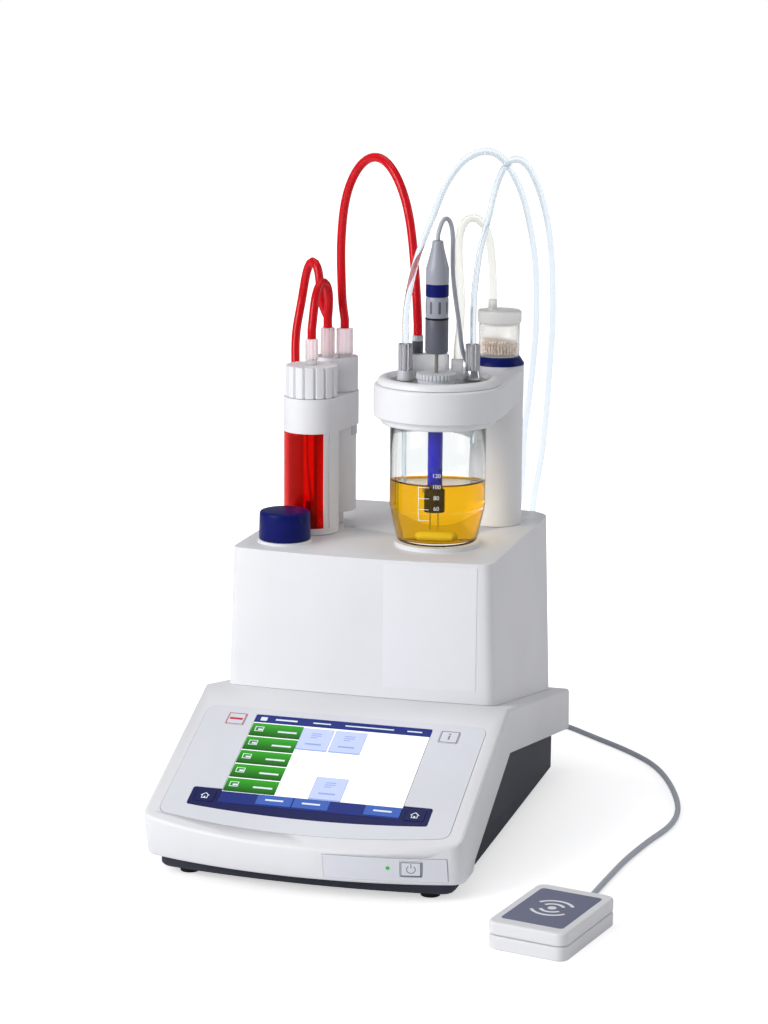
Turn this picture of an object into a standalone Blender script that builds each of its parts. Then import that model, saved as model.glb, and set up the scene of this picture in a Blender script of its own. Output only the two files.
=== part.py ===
"""Bench titrator with a touch panel, a burette, a stirred glass vessel and a wired reader.

Lengths are in metres, +Z is up, and the operator looks along +Y at the sloping panel.
The instrument is laid out about its own centre plane; ORIGIN moves it over the footprint.
"""
import bpy
import bmesh
from math import acos, atan2, cos, hypot, pi, radians, sin, sqrt, tan
from mathutils import Vector

# Fits
GAP = 0.0003
CUT = 0.02
TALL_CUT = 0.12
FUSE = 0.001
EDGE_ANGLE = radians(35)

# Base cover: a side outline in Y and Z, trimmed to a bowed front
BASE_WIDTH = 0.210
FRONT_BOW = 0.016
STRIP_BOTTOM_Z = 0.0129
STRIP_TOP_Z = 0.041
STRIP_LEAN = 0.007
SLOPE_TOP_Y = 0.1166
SLOPE_TOP_Z = 0.0953
DECK_REAR_Y = 0.308
DECK_REAR_Z = 0.0592
BAND_REAR_Y = 0.310
BAND_REAR_Z = 0.0282
BAND_FRONT_Y = 0.1234
BAND_FRONT_Z = 0.0629
LEG_Y = 0.0307
LEG_Z = 0.0189
LEG_FOOT_Y = 0.0265
SIDE_WALL = 0.0074
COVER_WALL = 0.0035
COVER_CORNER = 0.010
COVER_EDGE = 0.0020

# Tray under the cover, and its feet
FOOT_HEIGHT = 0.005
FOOT_RADIUS = 0.007
FOOT_INSET = 0.025
FOOT_TAPER = 0.0008
FOOT_FRONT_Y = 0.015
FOOT_REAR_Y = 0.270
TRAY_FRONT_Y = 0.003
TRAY_BOW = 0.008
TRAY_REAR_Y = 0.293
TRAY_WALL = 0.0025
TRAY_CORNER = 0.009
TRAY_LAP = 0.010
TRAY_EDGE = 0.0015
POST_RADIUS = 0.003
POST_HEIGHT = 0.006
BOARD_WIDTH = 0.130
BOARD_DEPTH = 0.150
BOARD_THICKNESS = 0.0016
BOARD_Y = 0.150
POST_INSET = 0.008

# Sloping panel, measured up the slope from its front crease at the sides
BEZEL_SIDE_MARGIN = 0.0097
BEZEL_LOW = 0.006
BEZEL_HIGH = 0.1135
BEZEL_BOW = 0.010
BEZEL_CORNER = 0.006
BEZEL_THICKNESS = 0.0012
BEZEL_PROUD = 0.0002
SCREEN_SIDE_MARGIN = 0.045
SCREEN_LOW = 0.0187
SCREEN_HIGH = 0.1075
SCREEN_CORNER = 0.0012
KEY_BAND_SIDE_MARGIN = 0.0258
KEY_BAND_LOW = 0.0150
KEY_BAND_HIGH = 0.0315
KEY_BAND_BOW = 0.0048
KEY_BAND_CORNER = 0.0015
SIDE_KEY_WIDTH = 0.0126
SIDE_KEY_HEIGHT = 0.0117
SIDE_KEY_INSET = 0.0323
SIDE_KEY_T = 0.1012
HOME_KEY_WIDTH = 0.0130
HOME_KEY_HEIGHT = 0.0100
HOME_KEY_INSET = 0.0356
HOME_KEY_T = 0.0236
KEY_CORNER = 0.0012
KEY_PROUD = 0.0003
KEY_TRAVEL = 0.0003

# Power panel, let into the bowed front strip
POWER_WIDTH = 0.0765
POWER_SIDE_MARGIN = 0.0090
POWER_LOW = 0.0160
POWER_HIGH = 0.0318
POWER_THICKNESS = 0.0015
POWER_PROUD = 0.0002
POWER_COLUMNS = 16
BUTTON_INSET = 0.0218
BUTTON_Z = 0.0246
BUTTON_WIDTH = 0.0138
BUTTON_HEIGHT = 0.0112
BUTTON_DEPTH = 0.0030
BUTTON_PROUD = 0.0004
BUTTON_CORNER = 0.0012

# Tower
TOWER_TOP_Z = 0.1888
TOWER_HALF_WIDTH = 0.0895
TOWER_DRAFT_SHARE = 0.036
TOWER_FRONT_Y = 0.126
TOWER_BOW = 0.0078
TOWER_REAR_Y = 0.3065
TOWER_FRONT_CORNER = 0.007
TOWER_REAR_CORNER = 0.020
TOWER_EDGE = 0.004
TOWER_WALL = 0.0035
POCKET_X = -0.0335
POCKET_Y = 0.2120
POCKET_WIDTH = 0.008
POCKET_LENGTH = 0.010
POCKET_DEPTH = 0.0015

# Vessel place on the deck
VESSEL_X = 0.0390
VESSEL_Y = 0.1760
SEAT_RADIUS = 0.0286
SEAT_HEIGHT = 0.0030

# Vessel, its lid and the stand that holds them
VESSEL_RADIUS = 0.0322
VESSEL_FOOT_RADIUS = 0.0268
VESSEL_WALL = 0.0018
VESSEL_FLOOR = 0.0026
VESSEL_SHOULDER_Z = 0.2145
VESSEL_LIP_RADIUS = 0.0352
VESSEL_LIP_HEIGHT = 0.0022
RING_RADIUS = 0.0435
RING_LOW_Z = 0.2765
RING_HIGH_Z = 0.2985
RING_EDGE = 0.0018
CLAMP_RADIUS = 0.0385
CLAMP_LOW_Z = 0.2718
CLAMP_EDGE = 0.0015
LID_RADIUS = 0.0410
LID_RISE = 0.0045
LID_RECESS_DEPTH = 0.0025
LID_RECESS_RADIUS = 0.0325
LID_PLUG_RADIUS = 0.0305
LID_PLUG_DEPTH = 0.020
COLUMN_X = 0.0600
COLUMN_Y = 0.2590
COLUMN_RADIUS = 0.0173
ARM_END_RADIUS = 0.0175

# Ports on the lid: (to the right, away from the operator's eye) from the vessel's axis
VIEW_TURN = radians(15.8)
SENSOR_PLACE = (-0.0020, -0.0165)
KNOB_SPREAD = 0.0223
KNOB_BACK = -0.0020
DOSING_BLOCK_PLACE = (-0.0055, 0.0090)
DOSING_NUT_PLACE = (-0.0142, 0.0090)
VENT_PLACE = (0.0125, 0.0120)
DOSING_BLOCK_WIDTH = 0.0250
DOSING_BLOCK_DEPTH = 0.0110
DOSING_BLOCK_TOP_Z = 0.3170
VENT_WIDTH = 0.0080
VENT_TOP_Z = 0.3130
KNOB_RADIUS = 0.0049
KNOB_TOP_Z = 0.3252
KNOB_SKIRT_RADIUS = 0.0056
KNOB_SKIRT_TOP_Z = 0.3075
KNOB_FLUTES = 9
KNOB_FLUTE_DEPTH = 0.0005
NUT_RADIUS = 0.0133
NUT_SKIRT_RADIUS = 0.0122
NUT_LIP_Z = 0.3042
NUT_TOP_Z = 0.3080
NUT_FLUTES = 20
NUT_FLUTE_DEPTH = 0.0006
DOSING_NUT_RADIUS = 0.0037
DOSING_NUT_TOP_Z = 0.3292

# Sensor
STEM_RADIUS = 0.0012
SHAFT_RADIUS = 0.0048
SHAFT_SINK = 0.0040
SHAFT_LOW_Z = 0.2157
SHAFT_EDGE = 0.0005
PIN_RADIUS = 0.0005
PIN_LENGTH = 0.0115
PIN_SPREAD = 0.0042
HEAD_RADIUS = 0.0076
HEAD_LOW_Z = 0.3211
HEAD_GROOVE_Z = 0.3440
HEAD_BAND_Z = 0.3585
HEAD_COLLAR_Z = 0.3667
HEAD_SHOULDER_Z = 0.3775
HEAD_TOP_Z = 0.3951
HEAD_TIP_RADIUS = 0.0036
HEAD_STEP = 0.0006
HEAD_CHAMFER = 0.0009

# Stirring
BAR_LENGTH = 0.022
BAR_RADIUS = 0.003
MOTOR_RADIUS = 0.019
MOTOR_WALL = 0.0018
MOTOR_DROP = 0.045
MOTOR_CORE_DROP = 0.020
MAGNET_LENGTH = 0.030
MAGNET_WIDTH = 0.008
MAGNET_HEIGHT = 0.005
ROTOR_RADIUS = 0.0055
ROTOR_DEPTH = 0.013
ROTOR_SHAFT_RADIUS = 0.0015
ROTOR_SHAFT_LENGTH = 0.010

# Parking place at the front left of the deck
PARK_X = -0.0614
PARK_Y = 0.1540
PARK_RING_RADIUS = 0.0183
PARK_RING_HEIGHT = 0.0018
PARK_BOSS_RADIUS = 0.0130
PARK_BOSS_HEIGHT = 0.010
CAP_RADIUS = 0.0172
CAP_TOP_RADIUS = 0.0168
CAP_HEIGHT = 0.0178
CAP_EDGE = 0.0018
CAP_EDGE_SHARE = 0.3
CAP_WALL = 0.0022

# Burette
BURETTE_X = -0.0550
BURETTE_Y = 0.1930
FRAME_RADIUS = 0.0190
FRAME_WALL = 0.0012
FRAME_BASE_HEIGHT = 0.0045
BAND_LOW_Z = 0.2590
BAND_HIGH_Z = 0.2825
BAND_EDGE = 0.0008
POST_FROM = radians(28)
POST_TO = radians(150)
POST_GROOVE = radians(40)
POST_GROOVE_HALF = radians(3)
POST_GROOVE_DEPTH = 0.0005
POST_INSET_DEPTH = 0.0001
SLEEVE_WALL = 0.0012
BARREL_RADIUS = 0.0056
BARREL_BORE = 0.0045
BARREL_TOP_Z = 0.2900
PISTON_RADIUS = 0.0042
PISTON_HEIGHT = 0.009
PISTON_Z = 0.2000
PISTON_TRAVEL = 0.050
ROD_RADIUS = 0.0025
ROD_SPARE = 0.020
ROD_HOLE = 0.0035
DRIVE_RADIUS = 0.017
DRIVE_BORE = 0.0031
DRIVE_DROP = 0.078
RIBBED_RADIUS = 0.0178
RIBBED_TOP_Z = 0.3040
RIBBED_COUNT = 15
RIBBED_GROOVE = 0.0011

# Valve beside the burette
VALVE_X = -0.0472
VALVE_Y = 0.2254
VALVE_RADIUS = 0.0150
VALVE_TOP_Z = 0.3060
VALVE_RIM = 0.0012
VALVE_RIM_DEPTH = 0.0015
VALVE_BAND_RADIUS = 0.0156
VALVE_SPIGOT_RADIUS = 0.0122
VALVE_SPIGOT_LOW_Z = 0.2620
ROTOR_PLUG_RADIUS = 0.0080
ROTOR_PLUG_HEIGHT = 0.0120
ROTOR_STEM_RADIUS = 0.0030
ROTOR_STEM_DEPTH = 0.020
TURRET_RADIUS = 0.0140
TURRET_LOW_Z = 0.1985
TURRET_FOOT_RADIUS = 0.0095
TRANSFER_PLACE = (-0.0060, -0.0060)
DOSING_PLACE = (0.0056, -0.0010)
SUCTION_PLACE = (-0.0062, 0.0062)
SUCTION_RADIUS = 0.0036
SUCTION_TOP_Z = 0.3255
FITTING_NECK = 0.0030
FITTING_NECK_SHARE = 0.62
TRANSFER_RADIUS = 0.0050
TRANSFER_TOP_Z = 0.3262
DOSING_RADIUS = 0.0058
DOSING_TOP_Z = 0.3252
BURETTE_FITTING_RADIUS = 0.0041
BURETTE_FITTING_TOP_Z = 0.3215
FITTING_FLUTES = 10
FITTING_FLUTE_DEPTH = 0.0004

# Drying tube on the column
COLLAR_LOW_RADIUS = 0.0178
COLLAR_HIGH_RADIUS = 0.0143
COLLAR_HIGH_Z = 0.3082
CUP_RADIUS = 0.0142
CUP_WALL = 0.0012
CUP_TOP_Z = 0.3300
CUP_PLUG_DEPTH = 0.002
CUP_CAP_RADIUS = 0.0152
CUP_CAP_TOP_Z = 0.3385
NIPPLE_RADIUS = 0.0031
NIPPLE_TOP_Z = 0.3455

# Rear connector panel
REAR_PANEL_SIDE_MARGIN = 0.021
REAR_PANEL_HEIGHT = 0.019
REAR_PANEL_THICKNESS = 0.0025
REAR_PANEL_Z = 0.0440
REAR_PANEL_INSET = 0.0006
REAR_SOCKET_DEPTH = 0.0045
SENSOR_SOCKET_X = 0.040
SENSOR_SOCKET_RADIUS = 0.0052
READER_SOCKET_INSET = 0.031
READER_SOCKET_WIDTH = 0.0130
READER_SOCKET_HEIGHT = 0.0085
POWER_INLET_X = -0.050
POWER_INLET_RADIUS = 0.0055
POWER_INLET_BORE = 0.0019

# Reader on the table
READER_X = 0.1685
READER_Y = -0.0340
READER_WIDTH = 0.0515
READER_LENGTH = 0.0770
READER_HEIGHT = 0.0175
READER_SEAM_Z = 0.0088
READER_CORNER = 0.0065
READER_EDGE = 0.0022
READER_WALL = 0.002
READER_EXIT_Z = 0.005
READER_TURN = radians(-12)

# Hoses and cables
RED_TUBE = 0.0054
CLEAR_TUBE = 0.0044
DRYING_TUBE = 0.0054
SENSOR_CABLE = 0.0030
READER_CABLE = 0.0039
COIL_TURNS = 3
COIL_POINTS = 16
COIL_INNER = 0.0190
COIL_SPACING = 0.0007
ROUTE_STEP_SHARE = 3.5
BOTTLE_COIL = (-0.0750, 0.3650)
SOLVENT_COIL = (0.0035, 0.3720)
WASTE_COIL = (0.0035, 0.4470)

TRANSFER_ROUTE = [
    (-0.0546, 0.1956, 0.3410), (-0.0544, 0.1971, 0.3511), (-0.0537, 0.2017, 0.3574),
    (-0.0529, 0.2071, 0.3599), (-0.0520, 0.2132, 0.3603), (-0.0513, 0.2181, 0.3570),
    (-0.0508, 0.2213, 0.3519), (-0.0508, 0.2219, 0.3415)]
DOSING_ROUTE = [
    (-0.0437, 0.2275, 0.3450), (-0.0445, 0.2280, 0.3610), (-0.0453, 0.2286, 0.3775),
    (-0.0445, 0.2281, 0.3940), (-0.0419, 0.2262, 0.4106), (-0.0375, 0.2231, 0.4219),
    (-0.0313, 0.2188, 0.4332), (-0.0256, 0.2148, 0.4391), (-0.0199, 0.2108, 0.4422),
    (-0.0146, 0.2071, 0.4432), (-0.0093, 0.2034, 0.4423), (-0.0041, 0.1997, 0.4390),
    (0.0003, 0.1966, 0.4354), (0.0064, 0.1923, 0.4243), (0.0100, 0.1898, 0.4154),
    (0.0136, 0.1873, 0.4038), (0.0163, 0.1854, 0.3868), (0.0182, 0.1841, 0.3737),
    (0.0206, 0.1824, 0.3526)]
DRYING_ROUTE = [
    (0.0559, 0.2576, 0.3610), (0.0544, 0.2530, 0.3787), (0.0515, 0.2460, 0.3943),
    (0.0450, 0.2370, 0.4018), (0.0401, 0.2260, 0.3944), (0.0409, 0.2180, 0.3817),
    (0.0459, 0.2080, 0.3621), (0.0498, 0.1990, 0.3424), (0.0502, 0.1926, 0.3240)]
BOTTLE_ROUTE = [
    (-0.0594, 0.2300, 0.3380), (-0.0597, 0.2290, 0.3548), (-0.0609, 0.2280, 0.3631),
    (-0.0620, 0.2270, 0.3687), (-0.0646, 0.2260, 0.3722), (-0.0672, 0.2250, 0.3681),
    (-0.0690, 0.2240, 0.3605), (-0.0708, 0.2230, 0.3495), (-0.0716, 0.2220, 0.3385),
    (-0.0727, 0.2210, 0.3275), (-0.0734, 0.2200, 0.3164), (-0.0742, 0.2190, 0.3054),
    (-0.0740, 0.2180, 0.2800), (-0.0728, 0.2190, 0.2500), (-0.0722, 0.2300, 0.2200),
    (-0.0726, 0.2520, 0.1985), (-0.0738, 0.2800, 0.1930), (-0.0752, 0.3000, 0.1945),
    (-0.0760, 0.3110, 0.1925), (-0.0768, 0.3175, 0.1820), (-0.0780, 0.3205, 0.1500),
    (-0.0800, 0.3235, 0.0900), (-0.0880, 0.3270, 0.0450), (-0.1000, 0.3300, 0.0180),
    (-0.1085, 0.3365, 0.0065)]
SENSOR_ROUTE = [
    (0.0422, 0.1610, 0.4045), (0.0452, 0.1650, 0.4116), (0.0484, 0.1690, 0.4040),
    (0.0478, 0.1760, 0.3725), (0.0487, 0.1820, 0.3515), (0.0512, 0.1840, 0.3330),
    (0.0532, 0.1845, 0.3175), (0.0550, 0.1930, 0.3098), (0.0555, 0.2040, 0.3070),
    (0.0540, 0.2140, 0.3060), (0.0510, 0.2240, 0.3030), (0.0460, 0.2360, 0.3012),
    (0.0405, 0.2480, 0.3012), (0.0378, 0.2580, 0.3012), (0.0362, 0.2665, 0.2985),
    (0.0372, 0.2735, 0.2915), (0.0420, 0.2780, 0.2815), (0.0480, 0.2815, 0.2680),
    (0.0540, 0.2825, 0.2500), (0.0580, 0.2830, 0.2250), (0.0605, 0.2850, 0.2050),
    (0.0620, 0.2940, 0.1935), (0.0628, 0.3025, 0.1928), (0.0634, 0.3100, 0.1902),
    (0.0634, 0.3132, 0.1815), (0.0622, 0.3140, 0.1600), (0.0570, 0.3170, 0.1200),
    (0.0490, 0.3250, 0.0850), (0.0420, 0.3330, 0.0620), (0.0400, 0.3360, 0.0510),
    (0.0398, 0.3300, 0.0452)]
SOLVENT_ROUTE = [
    (0.0175, 0.1700, 0.3448), (0.0210, 0.1740, 0.3715), (0.0265, 0.1790, 0.3931),
    (0.0330, 0.1850, 0.4115), (0.0365, 0.1920, 0.4259), (0.0473, 0.2030, 0.4442),
    (0.0562, 0.2110, 0.4487), (0.0616, 0.2160, 0.4501), (0.0689, 0.2240, 0.4441),
    (0.0781, 0.2360, 0.4241), (0.0825, 0.2480, 0.3988), (0.0846, 0.2600, 0.3688),
    (0.0828, 0.2730, 0.3292), (0.0815, 0.2770, 0.3175), (0.0763, 0.2880, 0.2820),
    (0.0703, 0.2970, 0.2461), (0.0680, 0.3060, 0.2250), (0.0640, 0.3150, 0.2000),
    (0.0580, 0.3235, 0.1650), (0.0480, 0.3310, 0.1200), (0.0370, 0.3365, 0.0750),
    (0.0300, 0.3375, 0.0400), (0.0230, 0.3378, 0.0170), (0.0160, 0.3377, 0.0055)]
WASTE_ROUTE = [
    (0.0597, 0.1870, 0.3583), (0.0621, 0.1950, 0.3901), (0.0649, 0.1990, 0.4026),
    (0.0684, 0.2070, 0.4261), (0.0734, 0.2160, 0.4416), (0.0797, 0.2240, 0.4448),
    (0.0867, 0.2340, 0.4343), (0.0928, 0.2460, 0.4116), (0.0955, 0.2600, 0.3775),
    (0.0936, 0.2770, 0.3292), (0.0907, 0.2850, 0.3056), (0.0867, 0.2960, 0.2700),
    (0.0820, 0.3050, 0.2343), (0.0771, 0.3110, 0.2097), (0.0734, 0.3160, 0.1888),
    (0.0700, 0.3250, 0.1500), (0.0625, 0.3370, 0.1000), (0.0530, 0.3480, 0.0550),
    (0.0470, 0.3620, 0.0220), (0.0450, 0.3800, 0.0065), (0.0440, 0.4000, 0.0030),
    (0.0410, 0.4200, 0.0026)]
READER_ROUTE = [
    (0.0740, 0.3200, 0.0440), (0.0725, 0.3350, 0.0400), (0.0670, 0.3550, 0.0230),
    (0.0620, 0.3750, 0.0090), (0.0610, 0.3920, 0.0035), (0.0660, 0.4040, 0.0024),
    (0.0755, 0.4075, 0.0023), (0.0863, 0.4020, 0.0023), (0.0970, 0.3930, 0.0023),
    (0.1090, 0.3822, 0.0023), (0.1391, 0.3549, 0.0023), (0.1629, 0.3269, 0.0023),
    (0.1801, 0.2932, 0.0023), (0.1944, 0.2509, 0.0023), (0.2010, 0.2169, 0.0023),
    (0.2005, 0.1862, 0.0023), (0.1928, 0.1502, 0.0023), (0.1861, 0.1116, 0.0023),
    (0.1829, 0.0831, 0.0023), (0.1799, 0.0518, 0.0023), (0.1782, 0.0250, 0.0030)]

# Counts of facets
ROUND = 28
ROUND_SMALL = 20
ROUND_TINY = 10
BOW_POINTS = 19
BOW_CLEAR_SHARE = 1.3
CORNER_STEPS = 4
EDGE_STEPS = 2
TUBE_STEPS = 2
CORD_STEPS = 1

# Derived frames
slope = atan2(SLOPE_TOP_Z - STRIP_TOP_Z, SLOPE_TOP_Y + STRIP_LEAN)
deck_fall = (SLOPE_TOP_Z - DECK_REAR_Z) / (DECK_REAR_Y - SLOPE_TOP_Y)
base_half = BASE_WIDTH / 2
bezel_half = base_half - BEZEL_SIDE_MARGIN
key_band_half = base_half - KEY_BAND_SIDE_MARGIN
screen_width = (base_half - SCREEN_SIDE_MARGIN) * 2
side_key_x = base_half - SIDE_KEY_INSET
home_key_x = base_half - HOME_KEY_INSET
power_right = base_half - POWER_SIDE_MARGIN
power_left = power_right - POWER_WIDTH
button_x = power_right - BUTTON_INSET
reader_socket_x = base_half - READER_SOCKET_INSET
lid_top_z = RING_HIGH_Z + LID_RISE
lid_floor_z = lid_top_z - LID_RECESS_DEPTH
shaft_top_z = lid_floor_z - SHAFT_SINK
seat_z = TOWER_TOP_Z + SEAT_HEIGHT
lean_share = STRIP_LEAN / (STRIP_TOP_Z - STRIP_BOTTOM_Z)
view_right = Vector((cos(VIEW_TURN), sin(VIEW_TURN)))
view_back = Vector((-sin(VIEW_TURN), cos(VIEW_TURN)))

wall_share = (REAR_PANEL_Z - BAND_REAR_Z) / (DECK_REAR_Z - BAND_REAR_Z)
rear_panel_y = BAND_REAR_Y + (DECK_REAR_Y - BAND_REAR_Y) * wall_share - REAR_PANEL_INSET
socket_y = rear_panel_y + REAR_SOCKET_DEPTH
reader_x_reach = ((READER_WIDTH / 2 - READER_CORNER) * cos(READER_TURN)
                  + (READER_LENGTH / 2 - READER_CORNER) * abs(sin(READER_TURN)) + READER_CORNER)
reader_y_reach = ((READER_WIDTH / 2 - READER_CORNER) * abs(sin(READER_TURN))
                  + (READER_LENGTH / 2 - READER_CORNER) * cos(READER_TURN) + READER_CORNER)
middle_x = (READER_X + reader_x_reach - base_half) / 2
middle_y = (socket_y + READER_Y - reader_y_reach) / 2


def clear_scene():
    for old in list(bpy.data.objects):
        bpy.data.objects.remove(old, do_unlink=True)


def new_collection(name):
    made = bpy.data.collections.new(name)
    bpy.context.scene.collection.children.link(made)
    return made


def finish(name, red, green, blue, roughness, metallic=0.0, alpha=1.0):
    """A plain Principled material."""
    made = bpy.data.materials.get(name) or bpy.data.materials.new(name)
    made.use_nodes = True
    shader = made.node_tree.nodes["Principled BSDF"]
    shader.inputs["Base Color"].default_value = (red, green, blue, 1)
    shader.inputs["Roughness"].default_value = roughness
    shader.inputs["Metallic"].default_value = metallic
    shader.inputs["Alpha"].default_value = alpha
    made.diffuse_color = (red, green, blue, alpha)
    return made


def keep(obj, material, place=(0, 0, 0), turn=(0, 0, 0), parent=None):
    """Put a finished sub-part in the model."""
    model.objects.link(obj)
    obj.parent = parent or origin
    obj.location = place
    obj.rotation_euler = turn
    obj.data.materials.clear()
    obj.data.materials.append(material)
    if obj.type == "MESH":
        obj.data.shade_smooth()
        obj.data.set_sharp_from_angle(angle=EDGE_ANGLE)
    return obj


def boolean(target, tool, operation, place=(0, 0, 0), turn=(0, 0, 0), parent=None):
    """Cut, join or trim with a hidden tool object."""
    cutters.objects.link(tool)
    tool.parent = parent or origin
    tool.location = place
    tool.rotation_euler = turn
    tool.hide_render = True
    tool.display_type = "WIRE"
    step = target.modifiers.new(tool.name, "BOOLEAN")
    step.operation = operation
    step.object = tool
    step.solver = "EXACT"


def bevel(obj, width, steps=EDGE_STEPS, angle=EDGE_ANGLE):
    made = obj.modifiers.new("edge", "BEVEL")
    made.width = width
    made.segments = steps
    made.limit_method = "ANGLE"
    made.angle_limit = angle


def plate(name, outline, thickness, base=None):
    """A flat outline given a thickness, centred on its plane or standing on base."""
    curve = bpy.data.curves.new(name, "CURVE")
    curve.dimensions = "2D"
    curve.fill_mode = "BOTH"
    curve.extrude = thickness / 2
    spline = curve.splines.new("POLY")
    spline.points.add(len(outline) - 1)
    for point, (x, y) in zip(spline.points, outline):
        point.co = (x, y, 0, 1)
    spline.use_cyclic_u = True
    flat = bpy.data.objects.new(name + "_flat", curve)
    bpy.context.scene.collection.objects.link(flat)
    bpy.context.view_layer.update()
    graph = bpy.context.evaluated_depsgraph_get()
    mesh = bpy.data.meshes.new_from_object(flat.evaluated_get(graph))
    bpy.data.objects.remove(flat, do_unlink=True)
    shape = bmesh.new()
    shape.from_mesh(mesh)
    bmesh.ops.remove_doubles(shape, verts=shape.verts, dist=GAP / 100)
    if base is not None:
        bmesh.ops.translate(shape, verts=shape.verts, vec=(0, 0, base + thickness / 2))
    bmesh.ops.recalc_face_normals(shape, faces=shape.faces)
    shape.to_mesh(mesh)
    shape.free()
    mesh.name = name
    return bpy.data.objects.new(name, mesh)


def cylinder(name, radius, low, high, sides=ROUND, top_radius=None):
    """A cylinder or cone on the Z axis between two heights."""
    shape = bmesh.new()
    bmesh.ops.create_cone(
        shape, cap_ends=True, segments=sides, radius1=radius,
        radius2=radius if top_radius is None else top_radius, depth=high - low)
    bmesh.ops.translate(shape, verts=shape.verts, vec=(0, 0, (low + high) / 2))
    mesh = bpy.data.meshes.new(name)
    shape.to_mesh(mesh)
    shape.free()
    return bpy.data.objects.new(name, mesh)


def block(name, size, centre=(0, 0, 0)):
    shape = bmesh.new()
    bmesh.ops.create_cube(shape, size=1)
    bmesh.ops.scale(shape, verts=shape.verts, vec=size)
    bmesh.ops.translate(shape, verts=shape.verts, vec=centre)
    mesh = bpy.data.meshes.new(name)
    shape.to_mesh(mesh)
    shape.free()
    return bpy.data.objects.new(name, mesh)


def turned(name, profile, closed=False, sides=ROUND):
    """A profile of (radius, height) turned about Z, given down its outer side."""
    mesh = bpy.data.meshes.new(name)
    count = len(profile)
    pairs = [(i, i + 1) for i in range(count - 1)]
    if closed:
        pairs.append((count - 1, 0))
    edges = [pair for pair in pairs if max(profile[i][0] for i in pair) > 0]
    mesh.from_pydata([(radius, 0, height) for radius, height in profile], edges, [])
    obj = bpy.data.objects.new(name, mesh)
    spin = obj.modifiers.new("turn", "SCREW")
    spin.steps = sides
    spin.render_steps = sides
    spin.use_merge_vertices = True
    spin.merge_threshold = GAP / 100
    spin.use_normal_calculate = False
    return obj


def arc(centre, radius, start, end, steps):
    cx, cy = centre
    turns = [start + (end - start) * i / steps for i in range(steps + 1)]
    return [(cx + radius * cos(a), cy + radius * sin(a)) for a in turns]


def filleted(corners, steps=CORNER_STEPS):
    """An outline whose corners (x, y, radius) are rounded."""
    points = []
    count = len(corners)
    for i, (x, y, radius) in enumerate(corners):
        if radius <= 0:
            points.append((x, y))
            continue
        here = Vector((x, y))
        before = (Vector(corners[i - 1][:2]) - here).normalized()
        after = (Vector(corners[(i + 1) % count][:2]) - here).normalized()
        half = acos(max(-1, min(1, before.dot(after)))) / 2
        start = here + before * (radius / tan(half))
        end = here + after * (radius / tan(half))
        middle = here + (before + after).normalized() * (radius / sin(half))
        first = start - middle
        last = end - middle
        sweep = first.angle_signed(last)
        for k in range(steps + 1):
            angle = -sweep * k / steps
            points.append((middle.x + first.x * cos(angle) - first.y * sin(angle),
                           middle.y + first.x * sin(angle) + first.y * cos(angle)))
    return points


def rounded_box(width, depth, radius, centre=(0, 0), steps=CORNER_STEPS):
    cx, cy = centre
    x = width / 2
    y = depth / 2
    return filleted([(cx - x, cy - y, radius), (cx + x, cy - y, radius),
                     (cx + x, cy + y, radius), (cx - x, cy + y, radius)], steps)


def fluted(radius, depth, count):
    """A round outline with grooves; each rib takes two thirds of its pitch."""
    rib_shares = ((0.0, 1), (0.6, 1), (0.7, 0), (0.9, 0))
    points = []
    for i in range(count):
        for share, land in rib_shares:
            angle = 2 * pi * (i + share) / count
            reach = radius - (0 if land else depth)
            points.append((reach * cos(angle), reach * sin(angle)))
    return points


def belt(c1, r1, c2, r2, steps):
    """The outline of a belt round two circles."""
    a = Vector(c1)
    b = Vector(c2)
    way = atan2(b.y - a.y, b.x - a.x)
    lean = acos((r1 - r2) / (b - a).length)
    first = arc(c1, r1, way + lean, way + 2 * pi - lean, steps)
    second = arc(c2, r2, way - lean, way + lean, steps // 2)
    return first + second


def bow(x, half, depth):
    """How far a circular front, flush at x = +-half, stands forward at x."""
    radius = (half * half + depth * depth) / (2 * depth)
    return sqrt(radius * radius - x * x) - sqrt(radius * radius - half * half)


def bowed_edge(half, depth, y, count=BOW_POINTS):
    """Points from left to right along a bowed edge."""
    stations = [half * (2 * i / (count - 1) - 1) for i in range(count)]
    return [(x, y - bow(x, half, depth)) for x in stations]


def bowed_plan(half, front, rear, depth, front_corner, rear_corner):
    """A plan outline with a bowed front and rounded corners."""
    edge = bowed_edge(half, depth, front)
    inner = [(x, y, 0) for x, y in edge if abs(x) < half - front_corner * BOW_CLEAR_SHARE]
    return filleted([(-half, front, front_corner)] + inner + [
        (half, front, front_corner), (half, rear, rear_corner), (-half, rear, rear_corner)])


def smooth_route(points, spacing):
    """Even points on a smooth curve through the given ones, whose first and last runs are straight."""
    fine = []
    for i in range(1, len(points) - 2):
        p0, p1, p2, p3 = points[i - 1:i + 3]
        parts = max(2, int((p2 - p1).length / spacing) * 4)
        for k in range(parts):
            t = k / parts
            fine.append(0.5 * ((2 * p1) + (p2 - p0) * t
                               + (2 * p0 - 5 * p1 + 4 * p2 - p3) * t * t
                               + (3 * p1 - p0 - 3 * p2 + p3) * t ** 3))
    fine.append(points[-2])
    total = sum((b - a).length for a, b in zip(fine, fine[1:]))
    count = max(2, round(total / spacing))
    even = [fine[0]]
    walked = 0
    goal = total / count
    for a, b in zip(fine, fine[1:]):
        step = (b - a).length
        while walked + step >= goal and len(even) < count:
            even.append(a.lerp(b, (goal - walked) / step))
            goal += total / count
        walked += step
    return [points[0]] + even + [points[-2], points[-1]]


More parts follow.
